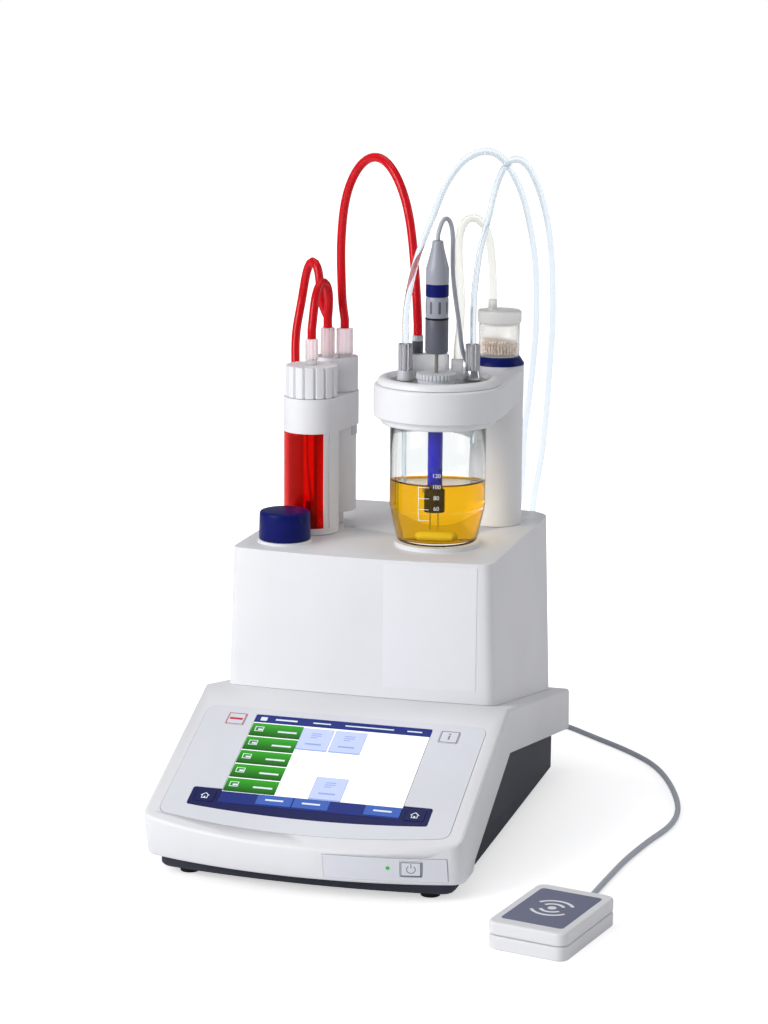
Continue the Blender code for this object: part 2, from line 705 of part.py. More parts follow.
def hose(name, points, diameter, resolution=TUBE_STEPS):
    """A round hose or cable along a list of points."""
    curve = bpy.data.curves.new(name, "CURVE")
    curve.dimensions = "3D"
    curve.bevel_depth = diameter / 2
    curve.bevel_resolution = resolution
    curve.use_fill_caps = True
    spline = curve.splines.new("POLY")
    spline.points.add(len(points) - 1)
    for point, place in zip(spline.points, points):
        point.co = (*place, 1)
    return bpy.data.objects.new(name, curve)


def beside(axis, place):
    """A plan point set off to the right of an axis and behind it, as the eye sees them."""
    spot = Vector(axis) + view_right * place[0] + view_back * place[1]
    return spot.x, spot.y


def slope_z(y):
    return STRIP_TOP_Z + (y + STRIP_LEAN) * tan(slope)


def deck_z(y):
    return SLOPE_TOP_Z - (y - SLOPE_TOP_Y) * deck_fall


def front_y(x, z):
    """The bowed, leaning front of the base cover."""
    return -bow(x, base_half, FRONT_BOW) - lean_share * (z - STRIP_BOTTOM_Z)


def front_normal(x):
    """The outward direction of the bowed, leaning front at x."""
    radius = (base_half ** 2 + FRONT_BOW ** 2) / (2 * FRONT_BOW)
    return Vector((x / sqrt(radius ** 2 - x ** 2), -1, -lean_share)).normalized()


def side_prism(name, outline, width):
    """A plate whose outline is given in Y and Z, with its turn to stand across X."""
    return plate(name, outline, width), (pi / 2, 0, pi / 2)


def empty(name, place, turn=(0, 0, 0), parent=None):
    made = bpy.data.objects.new(name, None)
    model.objects.link(made)
    made.parent = parent
    made.location = place
    made.rotation_euler = turn
    return made


def bored(obj, radius, low, high, spot=(0, 0), sides=ROUND_SMALL):
    """Cut a round hole between two heights."""
    tool = cylinder(obj.name + "_bore", radius, low, high, sides)
    boolean(obj, tool, "DIFFERENCE", (*spot, 0))


def leaning_plan(name, half, front, rear, depth, corner, low, high):
    """A block whose bowed front leans as the strip does."""
    made = plate(name, bowed_plan(half, front, rear, depth, corner, corner), high - low, low)
    for vertex in made.data.vertices:
        vertex.co.y -= lean_share * (vertex.co.z - STRIP_BOTTOM_Z)
    return made


def make_upper_shell():
    reach = -(FRONT_BOW + STRIP_LEAN) * 2
    outline = [
        (reach, STRIP_BOTTOM_Z), (LEG_FOOT_Y, STRIP_BOTTOM_Z), (LEG_Y, LEG_Z),
        (BAND_FRONT_Y, BAND_FRONT_Z), (BAND_REAR_Y, BAND_REAR_Z),
        (DECK_REAR_Y, DECK_REAR_Z), (SLOPE_TOP_Y, SLOPE_TOP_Z), (reach, slope_z(reach))]
    shell, stand = side_prism("upper_shell", outline, BASE_WIDTH + CUT)
    keep(shell, white_plastic, turn=stand)
    plan = leaning_plan("shell_plan", base_half, 0, BAND_REAR_Y + CUT, FRONT_BOW, COVER_CORNER,
                        -CUT, SLOPE_TOP_Z + CUT)
    boolean(shell, plan, "INTERSECT")
    bevel(shell, COVER_EDGE)

    lift = COVER_WALL / cos(slope)
    sink = COVER_WALL * hypot(1, deck_fall)
    ridge_y = (deck_z(0) - sink - slope_z(0) + lift) / (tan(slope) + deck_fall)
    inner_rear = DECK_REAR_Y - COVER_WALL
    hollow = [
        (reach, -CUT), (inner_rear, -CUT), (inner_rear, deck_z(inner_rear) - sink),
        (ridge_y, slope_z(ridge_y) - lift), (reach, slope_z(reach) - lift)]
    core, stand = side_prism("shell_hollow", hollow, BASE_WIDTH)
    core_plan = leaning_plan("hollow_plan", base_half - SIDE_WALL, COVER_WALL, BAND_REAR_Y + CUT,
                             FRONT_BOW, COVER_CORNER - COVER_WALL, -CUT * 2, SLOPE_TOP_Z + CUT)
    boolean(core, core_plan, "INTERSECT")
    boolean(shell, core, "DIFFERENCE", turn=stand)
    return shell


def make_lower_housing():
    """An open tray that the cover laps, with posts for the circuit board."""
    band_fall = (BAND_FRONT_Z - BAND_REAR_Z) / (BAND_REAR_Y - BAND_FRONT_Y)
    rear_z = BAND_FRONT_Z - (TRAY_REAR_Y - BAND_FRONT_Y) * band_fall + TRAY_LAP
    half = base_half - SIDE_WALL - GAP
    reach = -TRAY_BOW * 2
    outline = [
        (reach, FOOT_HEIGHT), (TRAY_REAR_Y + CUT, FOOT_HEIGHT), (TRAY_REAR_Y + CUT, rear_z - CUT * band_fall),
        (BAND_FRONT_Y, BAND_FRONT_Z + TRAY_LAP), (LEG_Y, LEG_Z + TRAY_LAP), (reach, LEG_Z + TRAY_LAP)]
    tray, stand = side_prism("lower_housing", outline, BASE_WIDTH)
    keep(tray, slate_plastic, turn=stand)
    plan = plate("tray_plan", bowed_plan(half, TRAY_FRONT_Y, TRAY_REAR_Y, TRAY_BOW,
                                         TRAY_CORNER, TRAY_CORNER), TALL_CUT, -CUT)
    boolean(tray, plan, "INTERSECT")
    bevel(tray, TRAY_EDGE, 1)
    inner = bowed_plan(half - TRAY_WALL, TRAY_FRONT_Y + TRAY_WALL, TRAY_REAR_Y - TRAY_WALL,
                       TRAY_BOW, TRAY_CORNER - TRAY_WALL, TRAY_CORNER - TRAY_WALL)
    floor_z = FOOT_HEIGHT + TRAY_WALL
    boolean(tray, plate("tray_hollow", inner, TALL_CUT, floor_z), "DIFFERENCE")
    for x in (-1, 1):
        for y in (-1, 1):
            post = cylinder("board_post", POST_RADIUS, floor_z - FUSE, floor_z + POST_HEIGHT, ROUND_TINY)
            boolean(tray, post, "UNION", (x * (BOARD_WIDTH / 2 - POST_INSET),
                                          BOARD_Y + y * (BOARD_DEPTH / 2 - POST_INSET), 0))
    board = block("main_board", (BOARD_WIDTH, BOARD_DEPTH, BOARD_THICKNESS))
    keep(board, board_green, (0, BOARD_Y, floor_z + POST_HEIGHT + GAP + BOARD_THICKNESS / 2))

    feet = {"foot_front_left": (-1, FOOT_FRONT_Y), "foot_front_right": (1, FOOT_FRONT_Y),
            "foot_rear_left": (-1, FOOT_REAR_Y), "foot_rear_right": (1, FOOT_REAR_Y)}
    for name, (side, y) in feet.items():
        foot = cylinder(name, FOOT_RADIUS - FOOT_TAPER, 0, FOOT_HEIGHT - GAP, ROUND_SMALL, FOOT_RADIUS)
        keep(foot, black_rubber, (side * (base_half - FOOT_INSET), y, 0))


def drafted(obj, half):
    """Widen a form downwards by the tower's draft."""
    for vertex in obj.data.vertices:
        vertex.co.x *= 1 + TOWER_DRAFT_SHARE * (TOWER_TOP_Z - vertex.co.z) / half
    return obj


def make_tower():
    low = DECK_REAR_Z - CUT
    outer = bowed_plan(TOWER_HALF_WIDTH, TOWER_FRONT_Y, TOWER_REAR_Y, TOWER_BOW,
                       TOWER_FRONT_CORNER, TOWER_REAR_CORNER)
    tower = drafted(plate("tower_housing", outer, TOWER_TOP_Z - low, low), TOWER_HALF_WIDTH)
    keep(tower, white_plastic)
    bevel(tower, TOWER_EDGE, EDGE_STEPS + 1)
    half = TOWER_HALF_WIDTH - TOWER_WALL
    inner = bowed_plan(half, TOWER_FRONT_Y + TOWER_WALL, TOWER_REAR_Y - TOWER_WALL, TOWER_BOW,
                       TOWER_FRONT_CORNER - TOWER_WALL, TOWER_REAR_CORNER - TOWER_WALL)
    ceiling = TOWER_TOP_Z - TOWER_WALL
    hollow = drafted(plate("tower_hollow", inner, ceiling - low + CUT, low - CUT), half)
    boolean(tower, hollow, "DIFFERENCE")
    clear = GAP * hypot(1, deck_fall)
    front = TOWER_FRONT_Y - TOWER_BOW - CUT
    rear = TOWER_REAR_Y + CUT
    below = [(front, 0), (rear, 0), (rear, deck_z(rear) + clear), (front, deck_z(front) + clear)]
    deck, stand = side_prism("deck_plane", below, BASE_WIDTH + CUT)
    boolean(tower, deck, "DIFFERENCE", turn=stand)

    base = TOWER_TOP_Z - FUSE
    boolean(tower, cylinder("vessel_seat", SEAT_RADIUS, base, seat_z), "UNION", (VESSEL_X, VESSEL_Y, 0))
    boolean(tower, cylinder("park_ring", PARK_RING_RADIUS, base, TOWER_TOP_Z + PARK_RING_HEIGHT),
            "UNION", (PARK_X, PARK_Y, 0))
    boolean(tower, cylinder("park_boss", PARK_BOSS_RADIUS, base, TOWER_TOP_Z + PARK_BOSS_HEIGHT),
            "UNION", (PARK_X, PARK_Y, 0))
    pocket = block("deck_pocket", (POCKET_WIDTH, POCKET_LENGTH, POCKET_DEPTH * 2), (0, 0, TOWER_TOP_Z))
    boolean(tower, pocket, "DIFFERENCE", (POCKET_X, POCKET_Y, 0))
    bored(tower, ROD_HOLE, ceiling - FUSE, TOWER_TOP_Z + FUSE, (BURETTE_X, BURETTE_Y))


def make_front_panel(shell):
    """The bezel, screen and keys, in a frame lying on the slope."""
    face = empty("slope_face", (0, -STRIP_LEAN, STRIP_TOP_Z), (slope, 0, 0), origin)
    under = BEZEL_PROUD - BEZEL_THICKNESS
    screen_height = SCREEN_HIGH - SCREEN_LOW
    screen_middle = (SCREEN_HIGH + SCREEN_LOW) / 2

    def bezel_outline(grow):
        return bowed_plan(bezel_half + grow, BEZEL_LOW - grow, BEZEL_HIGH + grow, BEZEL_BOW,
                          BEZEL_CORNER + grow, BEZEL_CORNER + grow)

    def band_outline(grow):
        return bowed_plan(key_band_half + grow, KEY_BAND_LOW - grow, KEY_BAND_HIGH + grow,
                          KEY_BAND_BOW, KEY_BAND_CORNER + grow, KEY_BAND_CORNER + grow)

    def window(target, name, outline, spot=(0, 0)):
        tool = plate(name, outline, BEZEL_THICKNESS * 4)
        boolean(target, tool, "DIFFERENCE", (*spot, 0), parent=face)

    recess = plate("bezel_recess", bezel_outline(GAP), BEZEL_THICKNESS * 2 - BEZEL_PROUD + GAP, under - GAP)
    boolean(shell, recess, "DIFFERENCE", parent=face)
    bezel = keep(plate("front_bezel", bezel_outline(0), BEZEL_THICKNESS, under), white_plastic, parent=face)
    band = keep(plate("key_band", band_outline(0), BEZEL_THICKNESS, under), navy_plastic, parent=face)
    screen = plate("touch_screen", rounded_box(screen_width, screen_height, SCREEN_CORNER),
                   BEZEL_THICKNESS, under)
    keep(screen, screen_white, (0, screen_middle, 0), parent=face)
    screen_hole = rounded_box(screen_width + 2 * GAP, screen_height + 2 * GAP, SCREEN_CORNER + GAP)
    window(bezel, "band_window", band_outline(GAP))
    window(bezel, "screen_window", screen_hole, (0, screen_middle))
    window(band, "screen_notch", screen_hole, (0, screen_middle))

    thickness = BEZEL_THICKNESS + KEY_PROUD - KEY_TRAVEL
    height = BEZEL_PROUD + KEY_PROUD - thickness / 2
    keys = {
        "reset_key": (bezel, -side_key_x, SIDE_KEY_T, SIDE_KEY_WIDTH, SIDE_KEY_HEIGHT, white_plastic),
        "info_key": (bezel, side_key_x, SIDE_KEY_T, SIDE_KEY_WIDTH, SIDE_KEY_HEIGHT, white_plastic),
        "home_key_left": (band, -home_key_x, HOME_KEY_T, HOME_KEY_WIDTH, HOME_KEY_HEIGHT, navy_plastic),
        "home_key_right": (band, home_key_x, HOME_KEY_T, HOME_KEY_WIDTH, HOME_KEY_HEIGHT, navy_plastic)}
    for name, (carrier, x, t, width, length, material) in keys.items():
        window(carrier, name + "_window",
               rounded_box(width + 2 * GAP, length + 2 * GAP, KEY_CORNER + GAP), (x, t))
        key = plate(name, rounded_box(width, length, KEY_CORNER), thickness)
        keep(key, material, (x, t, height), parent=face)


def strip_patch(name, grow, outward, thickness):
    """A sheet bent to the front strip, standing outward of it and thickened inwards."""
    left = power_left - grow
    low = POWER_LOW - grow
    width = POWER_WIDTH + 2 * grow
    height = POWER_HIGH - POWER_LOW + 2 * grow
    shape = bmesh.new()
    bmesh.ops.create_grid(shape, x_segments=POWER_COLUMNS, y_segments=1, size=0.5)
    for vertex in shape.verts:
        x = left + (vertex.co.x + 0.5) * width
        z = low + (vertex.co.y + 0.5) * height
        vertex.co = Vector((x, front_y(x, z), z)) + front_normal(x) * outward
    mesh = bpy.data.meshes.new(name)
    shape.to_mesh(mesh)
    shape.free()
    obj = bpy.data.objects.new(name, mesh)
    sheet = obj.modifiers.new("thickness", "SOLIDIFY")
    sheet.thickness = thickness
    return obj


def make_power_panel(shell):
    panel = keep(strip_patch("power_panel", 0, POWER_PROUD, POWER_THICKNESS), white_plastic)
    recess = strip_patch("power_recess", GAP, POWER_THICKNESS, POWER_THICKNESS * 2 - POWER_PROUD + GAP)
    boolean(shell, recess, "DIFFERENCE")

    outward = front_normal(button_x)
    spot = Vector((button_x, front_y(button_x, BUTTON_Z), BUTTON_Z))
    turn = outward.to_track_quat("Z", "Y").to_euler()
    hole = rounded_box(BUTTON_WIDTH + 2 * GAP, BUTTON_HEIGHT + 2 * GAP, BUTTON_CORNER + GAP)
    for target in (panel, shell):
        tool = plate("button_hole", hole, COVER_WALL * 4)
        boolean(target, tool, "DIFFERENCE", spot, turn)
    button = plate("power_button", rounded_box(BUTTON_WIDTH, BUTTON_HEIGHT, BUTTON_CORNER), BUTTON_DEPTH)
    keep(button, white_plastic, spot + outward * (BUTTON_PROUD - BUTTON_DEPTH / 2), turn)


def make_rear_panel(shell):
    """The connector plate in the rear wall, with its sockets and inlet moulded on."""
    back = rear_panel_y
    width = (base_half - REAR_PANEL_SIDE_MARGIN) * 2
    window = block("rear_window", (width + 2 * GAP, CUT, REAR_PANEL_HEIGHT + 2 * GAP))
    boolean(shell, window, "DIFFERENCE", (0, back, REAR_PANEL_Z))
    panel = block("rear_panel", (width, REAR_PANEL_THICKNESS, REAR_PANEL_HEIGHT),
                  (0, -REAR_PANEL_THICKNESS / 2, 0))
    keep(panel, slate_plastic, (0, back, REAR_PANEL_Z))
    upright = (-pi / 2, 0, 0)
    sensor = cylinder("sensor_socket", SENSOR_SOCKET_RADIUS, -FUSE, REAR_SOCKET_DEPTH, ROUND_SMALL)
    boolean(panel, sensor, "UNION", (SENSOR_SOCKET_X, back, REAR_PANEL_Z), upright)
    inlet = cylinder("power_inlet", POWER_INLET_RADIUS, -FUSE, REAR_SOCKET_DEPTH, ROUND_SMALL)
    boolean(panel, inlet, "UNION", (POWER_INLET_X, back, REAR_PANEL_Z), upright)
    bore = cylinder("inlet_bore", POWER_INLET_BORE, 0, REAR_SOCKET_DEPTH * 2, ROUND_TINY)
    boolean(panel, bore, "DIFFERENCE", (POWER_INLET_X, back, REAR_PANEL_Z), upright)
    reader = block("reader_socket", (READER_SOCKET_WIDTH, REAR_SOCKET_DEPTH + FUSE, READER_SOCKET_HEIGHT),
                   (0, (REAR_SOCKET_DEPTH - FUSE) / 2, 0))
    boolean(panel, reader, "UNION", (reader_socket_x, back, REAR_PANEL_Z))


def make_stirring():
    """A motor under the deck turns a magnet, and the bar in the vessel follows it."""
    top = TOWER_TOP_Z - TOWER_WALL - GAP
    core_z = top - MOTOR_CORE_DROP
    inner = MOTOR_RADIUS - MOTOR_WALL
    shaft_bore = ROTOR_SHAFT_RADIUS + GAP
    shaft_z = core_z - ROTOR_SHAFT_LENGTH
    motor = turned("stirrer_motor", [
        (inner, top), (MOTOR_RADIUS, top), (MOTOR_RADIUS, top - MOTOR_DROP), (0, top - MOTOR_DROP),
        (0, shaft_z - GAP), (shaft_bore, shaft_z - GAP), (shaft_bore, core_z), (inner, core_z)], closed=True)
    keep(motor, dark_metal, (VESSEL_X, VESSEL_Y, 0))
    hub_low = core_z + GAP
    hub_high = hub_low + ROTOR_DEPTH
    rotor = turned("stirrer_rotor", [
        (0, hub_high), (ROTOR_RADIUS, hub_high), (ROTOR_RADIUS, hub_low), (ROTOR_SHAFT_RADIUS, hub_low),
        (ROTOR_SHAFT_RADIUS, shaft_z), (0, shaft_z)], sides=ROUND_SMALL)
    keep(rotor, dark_metal, (VESSEL_X, VESSEL_Y, 0))
    magnet = block("rotor_magnet", (MAGNET_LENGTH, MAGNET_WIDTH, MAGNET_HEIGHT),
                   (0, 0, hub_high - FUSE + MAGNET_HEIGHT / 2))
    boolean(rotor, magnet, "UNION", (VESSEL_X, VESSEL_Y, 0))

    half = BAR_LENGTH / 2
    cap = [(BAR_RADIUS * cos(a), half - BAR_RADIUS + BAR_RADIUS * sin(a))
           for a in [pi / 2 * i / CORNER_STEPS for i in range(CORNER_STEPS, -1, -1)]]
    cap[0] = (0, half)
    bar = turned("stir_bar", cap + [(r, -z) for r, z in reversed(cap)], sides=ROUND_TINY)
    bar_z = seat_z + GAP + VESSEL_FLOOR + GAP + BAR_RADIUS
    keep(bar, white_plastic, (VESSEL_X, VESSEL_Y, bar_z), (0, pi / 2, 0))


def make_vessel_stand():
    """The stand's ring, arm and column in one, with the clamp ring and glass hung below."""
    bore = LID_PLUG_RADIUS + GAP
    reach = (COLUMN_X - VESSEL_X, COLUMN_Y - VESSEL_Y)
    outline = belt((0, 0), RING_RADIUS, reach, ARM_END_RADIUS, ROUND - ROUND // 4)
    stand = plate("titration_stand", outline, RING_HIGH_Z - RING_LOW_Z, RING_LOW_Z)
    keep(stand, white_plastic, (VESSEL_X, VESSEL_Y, 0))
    bevel(stand, RING_EDGE)
    bored(stand, bore, RING_LOW_Z - CUT, RING_HIGH_Z + CUT, (VESSEL_X, VESSEL_Y), ROUND)
    column = cylinder("stand_column", COLUMN_RADIUS, TOWER_TOP_Z + GAP, RING_LOW_Z + RING_EDGE * 2)
    boolean(stand, column, "UNION", (COLUMN_X, COLUMN_Y, 0))

    lip_high = RING_LOW_Z - GAP
    lip_low = lip_high - VESSEL_LIP_HEIGHT
    foot_z = seat_z + GAP
    inner = VESSEL_RADIUS - VESSEL_WALL
    glass = turned("glass_vessel", [
        (inner, lip_high), (VESSEL_LIP_RADIUS, lip_high), (VESSEL_LIP_RADIUS, lip_low),
        (VESSEL_RADIUS, lip_low), (VESSEL_RADIUS, VESSEL_SHOULDER_Z), (VESSEL_FOOT_RADIUS, foot_z),
        (0, foot_z), (0, foot_z + VESSEL_FLOOR), (VESSEL_FOOT_RADIUS - VESSEL_WALL, foot_z + VESSEL_FLOOR),
        (inner, VESSEL_SHOULDER_Z)], closed=True, sides=ROUND)
    keep(glass, clear_glass, (VESSEL_X, VESSEL_Y, 0))

    lip_clear = VESSEL_LIP_RADIUS + GAP
    neck_clear = VESSEL_RADIUS + GAP
    clamp = turned("clamp_ring", [
        (lip_clear, lip_high), (CLAMP_RADIUS, lip_high), (CLAMP_RADIUS, CLAMP_LOW_Z + CLAMP_EDGE),
        (CLAMP_RADIUS - CLAMP_EDGE, CLAMP_LOW_Z), (neck_clear, CLAMP_LOW_Z), (neck_clear, lip_low - GAP),
        (lip_clear, lip_low - GAP)], closed=True)
    keep(clamp, white_plastic, (VESSEL_X, VESSEL_Y, 0))


def make_lid():
    vessel = (VESSEL_X, VESSEL_Y)
    seat = RING_HIGH_Z + GAP
    rim = lid_top_z - seat
    outer_curve = [(LID_RADIUS - rim + rim * cos(a), seat + rim * sin(a))
                   for a in [pi / 2 * i / CORNER_STEPS for i in range(CORNER_STEPS, -1, -1)]]
    lid = turned("vessel_lid", [(0, lid_floor_z), (LID_RECESS_RADIUS, lid_floor_z),
                                (LID_RECESS_RADIUS + lid_top_z - lid_floor_z, lid_top_z)] + outer_curve + [
        (LID_PLUG_RADIUS, seat), (LID_PLUG_RADIUS, seat - LID_PLUG_DEPTH), (0, seat - LID_PLUG_DEPTH)],
        sides=ROUND)
    keep(lid, pale_plastic, (*vessel, 0))
    base = lid_floor_z - FUSE
    straight = DOSING_BLOCK_WIDTH - DOSING_BLOCK_DEPTH
    ends = belt((-straight / 2, 0), DOSING_BLOCK_DEPTH / 2, (straight / 2, 0), DOSING_BLOCK_DEPTH / 2,
                ROUND_TINY)
    dosing = plate("dosing_block", ends, DOSING_BLOCK_TOP_Z - base, base)
    boolean(lid, dosing, "UNION", (*beside(vessel, DOSING_BLOCK_PLACE), 0), (0, 0, VIEW_TURN))
    vent = block("vent_block", (VENT_WIDTH, VENT_WIDTH, VENT_TOP_Z - base), (0, 0, (VENT_TOP_Z + base) / 2))
    boolean(lid, vent, "UNION", (*beside(vessel, VENT_PLACE), 0), (0, 0, VIEW_TURN))
    sensor = beside(vessel, SENSOR_PLACE)
    bored(lid, SHAFT_RADIUS + GAP, seat - LID_PLUG_DEPTH - CUT, shaft_top_z + GAP, sensor)
    bored(lid, STEM_RADIUS + GAP, shaft_top_z, lid_top_z, sensor, ROUND_TINY)

    floor_z = lid_floor_z + GAP
    for name, side in (("knob_left", -1), ("knob_right", 1)):
        knob = plate(name, fluted(KNOB_RADIUS, KNOB_FLUTE_DEPTH, KNOB_FLUTES),
                     KNOB_TOP_Z - KNOB_SKIRT_TOP_Z, KNOB_SKIRT_TOP_Z)
        spot = beside(vessel, (side * KNOB_SPREAD, KNOB_BACK))
        keep(knob, polished_metal, (*spot, 0))
        skirt = cylinder(name + "_skirt", KNOB_SKIRT_RADIUS, floor_z, KNOB_SKIRT_TOP_Z + FUSE,
                         ROUND_SMALL, KNOB_RADIUS - KNOB_FLUTE_DEPTH)
        boolean(knob, skirt, "UNION", (*spot, 0))

    nut = plate("sensor_nut", fluted(NUT_RADIUS, NUT_FLUTE_DEPTH, NUT_FLUTES),
                NUT_TOP_Z - NUT_LIP_Z, NUT_LIP_Z)
    keep(nut, pale_plastic, (*sensor, 0))
    boolean(nut, cylinder("nut_skirt", NUT_SKIRT_RADIUS, floor_z, NUT_LIP_Z + FUSE), "UNION", (*sensor, 0))
    bored(nut, STEM_RADIUS + GAP, floor_z - FUSE, NUT_TOP_Z + FUSE, sensor, ROUND_TINY)

    nut_spot = beside(vessel, DOSING_NUT_PLACE)
    dosing_nut = plate("dosing_nut", fluted(DOSING_NUT_RADIUS, FITTING_FLUTE_DEPTH, FITTING_FLUTES),
                       DOSING_NUT_TOP_Z - DOSING_BLOCK_TOP_Z - GAP, DOSING_BLOCK_TOP_Z + GAP)
    keep(dosing_nut, slate_plastic, (*nut_spot, 0))


def make_sensor():
    place = (*beside((VESSEL_X, VESSEL_Y), SENSOR_PLACE), 0)
    waist = HEAD_RADIUS - HEAD_STEP
    head = turned("sensor_head", [
        (0, HEAD_TOP_Z), (HEAD_TIP_RADIUS, HEAD_TOP_Z), (HEAD_RADIUS, HEAD_SHOULDER_Z),
        (HEAD_RADIUS, HEAD_COLLAR_Z), (waist, HEAD_COLLAR_Z - HEAD_STEP), (waist, HEAD_BAND_Z + HEAD_STEP),
        (HEAD_RADIUS, HEAD_BAND_Z), (HEAD_RADIUS, HEAD_GROOVE_Z + HEAD_STEP),
        (waist, HEAD_GROOVE_Z + HEAD_STEP), (waist, HEAD_GROOVE_Z - HEAD_STEP),
        (HEAD_RADIUS, HEAD_GROOVE_Z - HEAD_STEP),
        (HEAD_RADIUS, HEAD_LOW_Z + HEAD_CHAMFER), (HEAD_RADIUS - HEAD_CHAMFER, HEAD_LOW_Z), (0, HEAD_LOW_Z)],
        sides=ROUND_SMALL)
    keep(head, grey_plastic, place)
    stem_z = HEAD_LOW_Z - GAP
    shaft = turned("sensor_shaft", [
        (0, stem_z), (STEM_RADIUS, stem_z), (STEM_RADIUS, shaft_top_z), (SHAFT_RADIUS, shaft_top_z),
        (SHAFT_RADIUS, SHAFT_LOW_Z + SHAFT_EDGE), (SHAFT_RADIUS - SHAFT_EDGE, SHAFT_LOW_Z), (0, SHAFT_LOW_Z)],
        sides=ROUND_SMALL)
    keep(shaft, blue_plastic, place)
    for side in (-1, 1):
        pin = cylinder("sensor_pin", PIN_RADIUS, SHAFT_LOW_Z - PIN_LENGTH, SHAFT_LOW_Z + FUSE, ROUND_TINY)
        boolean(shaft, pin, "UNION", (place[0] + side * PIN_SPREAD / 2, place[1], 0))


def make_parking_cap():
    low = TOWER_TOP_Z + PARK_RING_HEIGHT + GAP
    high = low + CAP_HEIGHT
    inner = CAP_RADIUS - CAP_WALL
    cap = turned("parking_cap", [
        (0, high), (CAP_TOP_RADIUS - CAP_EDGE, high), (CAP_TOP_RADIUS - CAP_EDGE * CAP_EDGE_SHARE,
                                                       high - CAP_EDGE * (1 - CAP_EDGE_SHARE)),
        (CAP_TOP_RADIUS, high - CAP_EDGE), (CAP_RADIUS, low), (inner, low), (inner, high - CAP_WALL),
        (0, high - CAP_WALL)])
    keep(cap, navy_plastic, (PARK_X, PARK_Y, 0))


def fitting(name, radius, low, high):
    """A screwed hose fitting: a fluted body over a narrower neck."""
    shoulder = low + FITTING_NECK
    body = plate(name, fluted(radius, FITTING_FLUTE_DEPTH, FITTING_FLUTES), high - shoulder, shoulder)
    neck = cylinder(name + "_neck", radius * FITTING_NECK_SHARE, low, shoulder + FUSE, ROUND_SMALL)
    return body, neck


def keep_fitting(name, radius, low, high, spot):
    body, neck = fitting(name, radius, low, high)
    keep(body, milky_plastic, (*spot, 0))
    boolean(body, neck, "UNION", (*spot, 0))


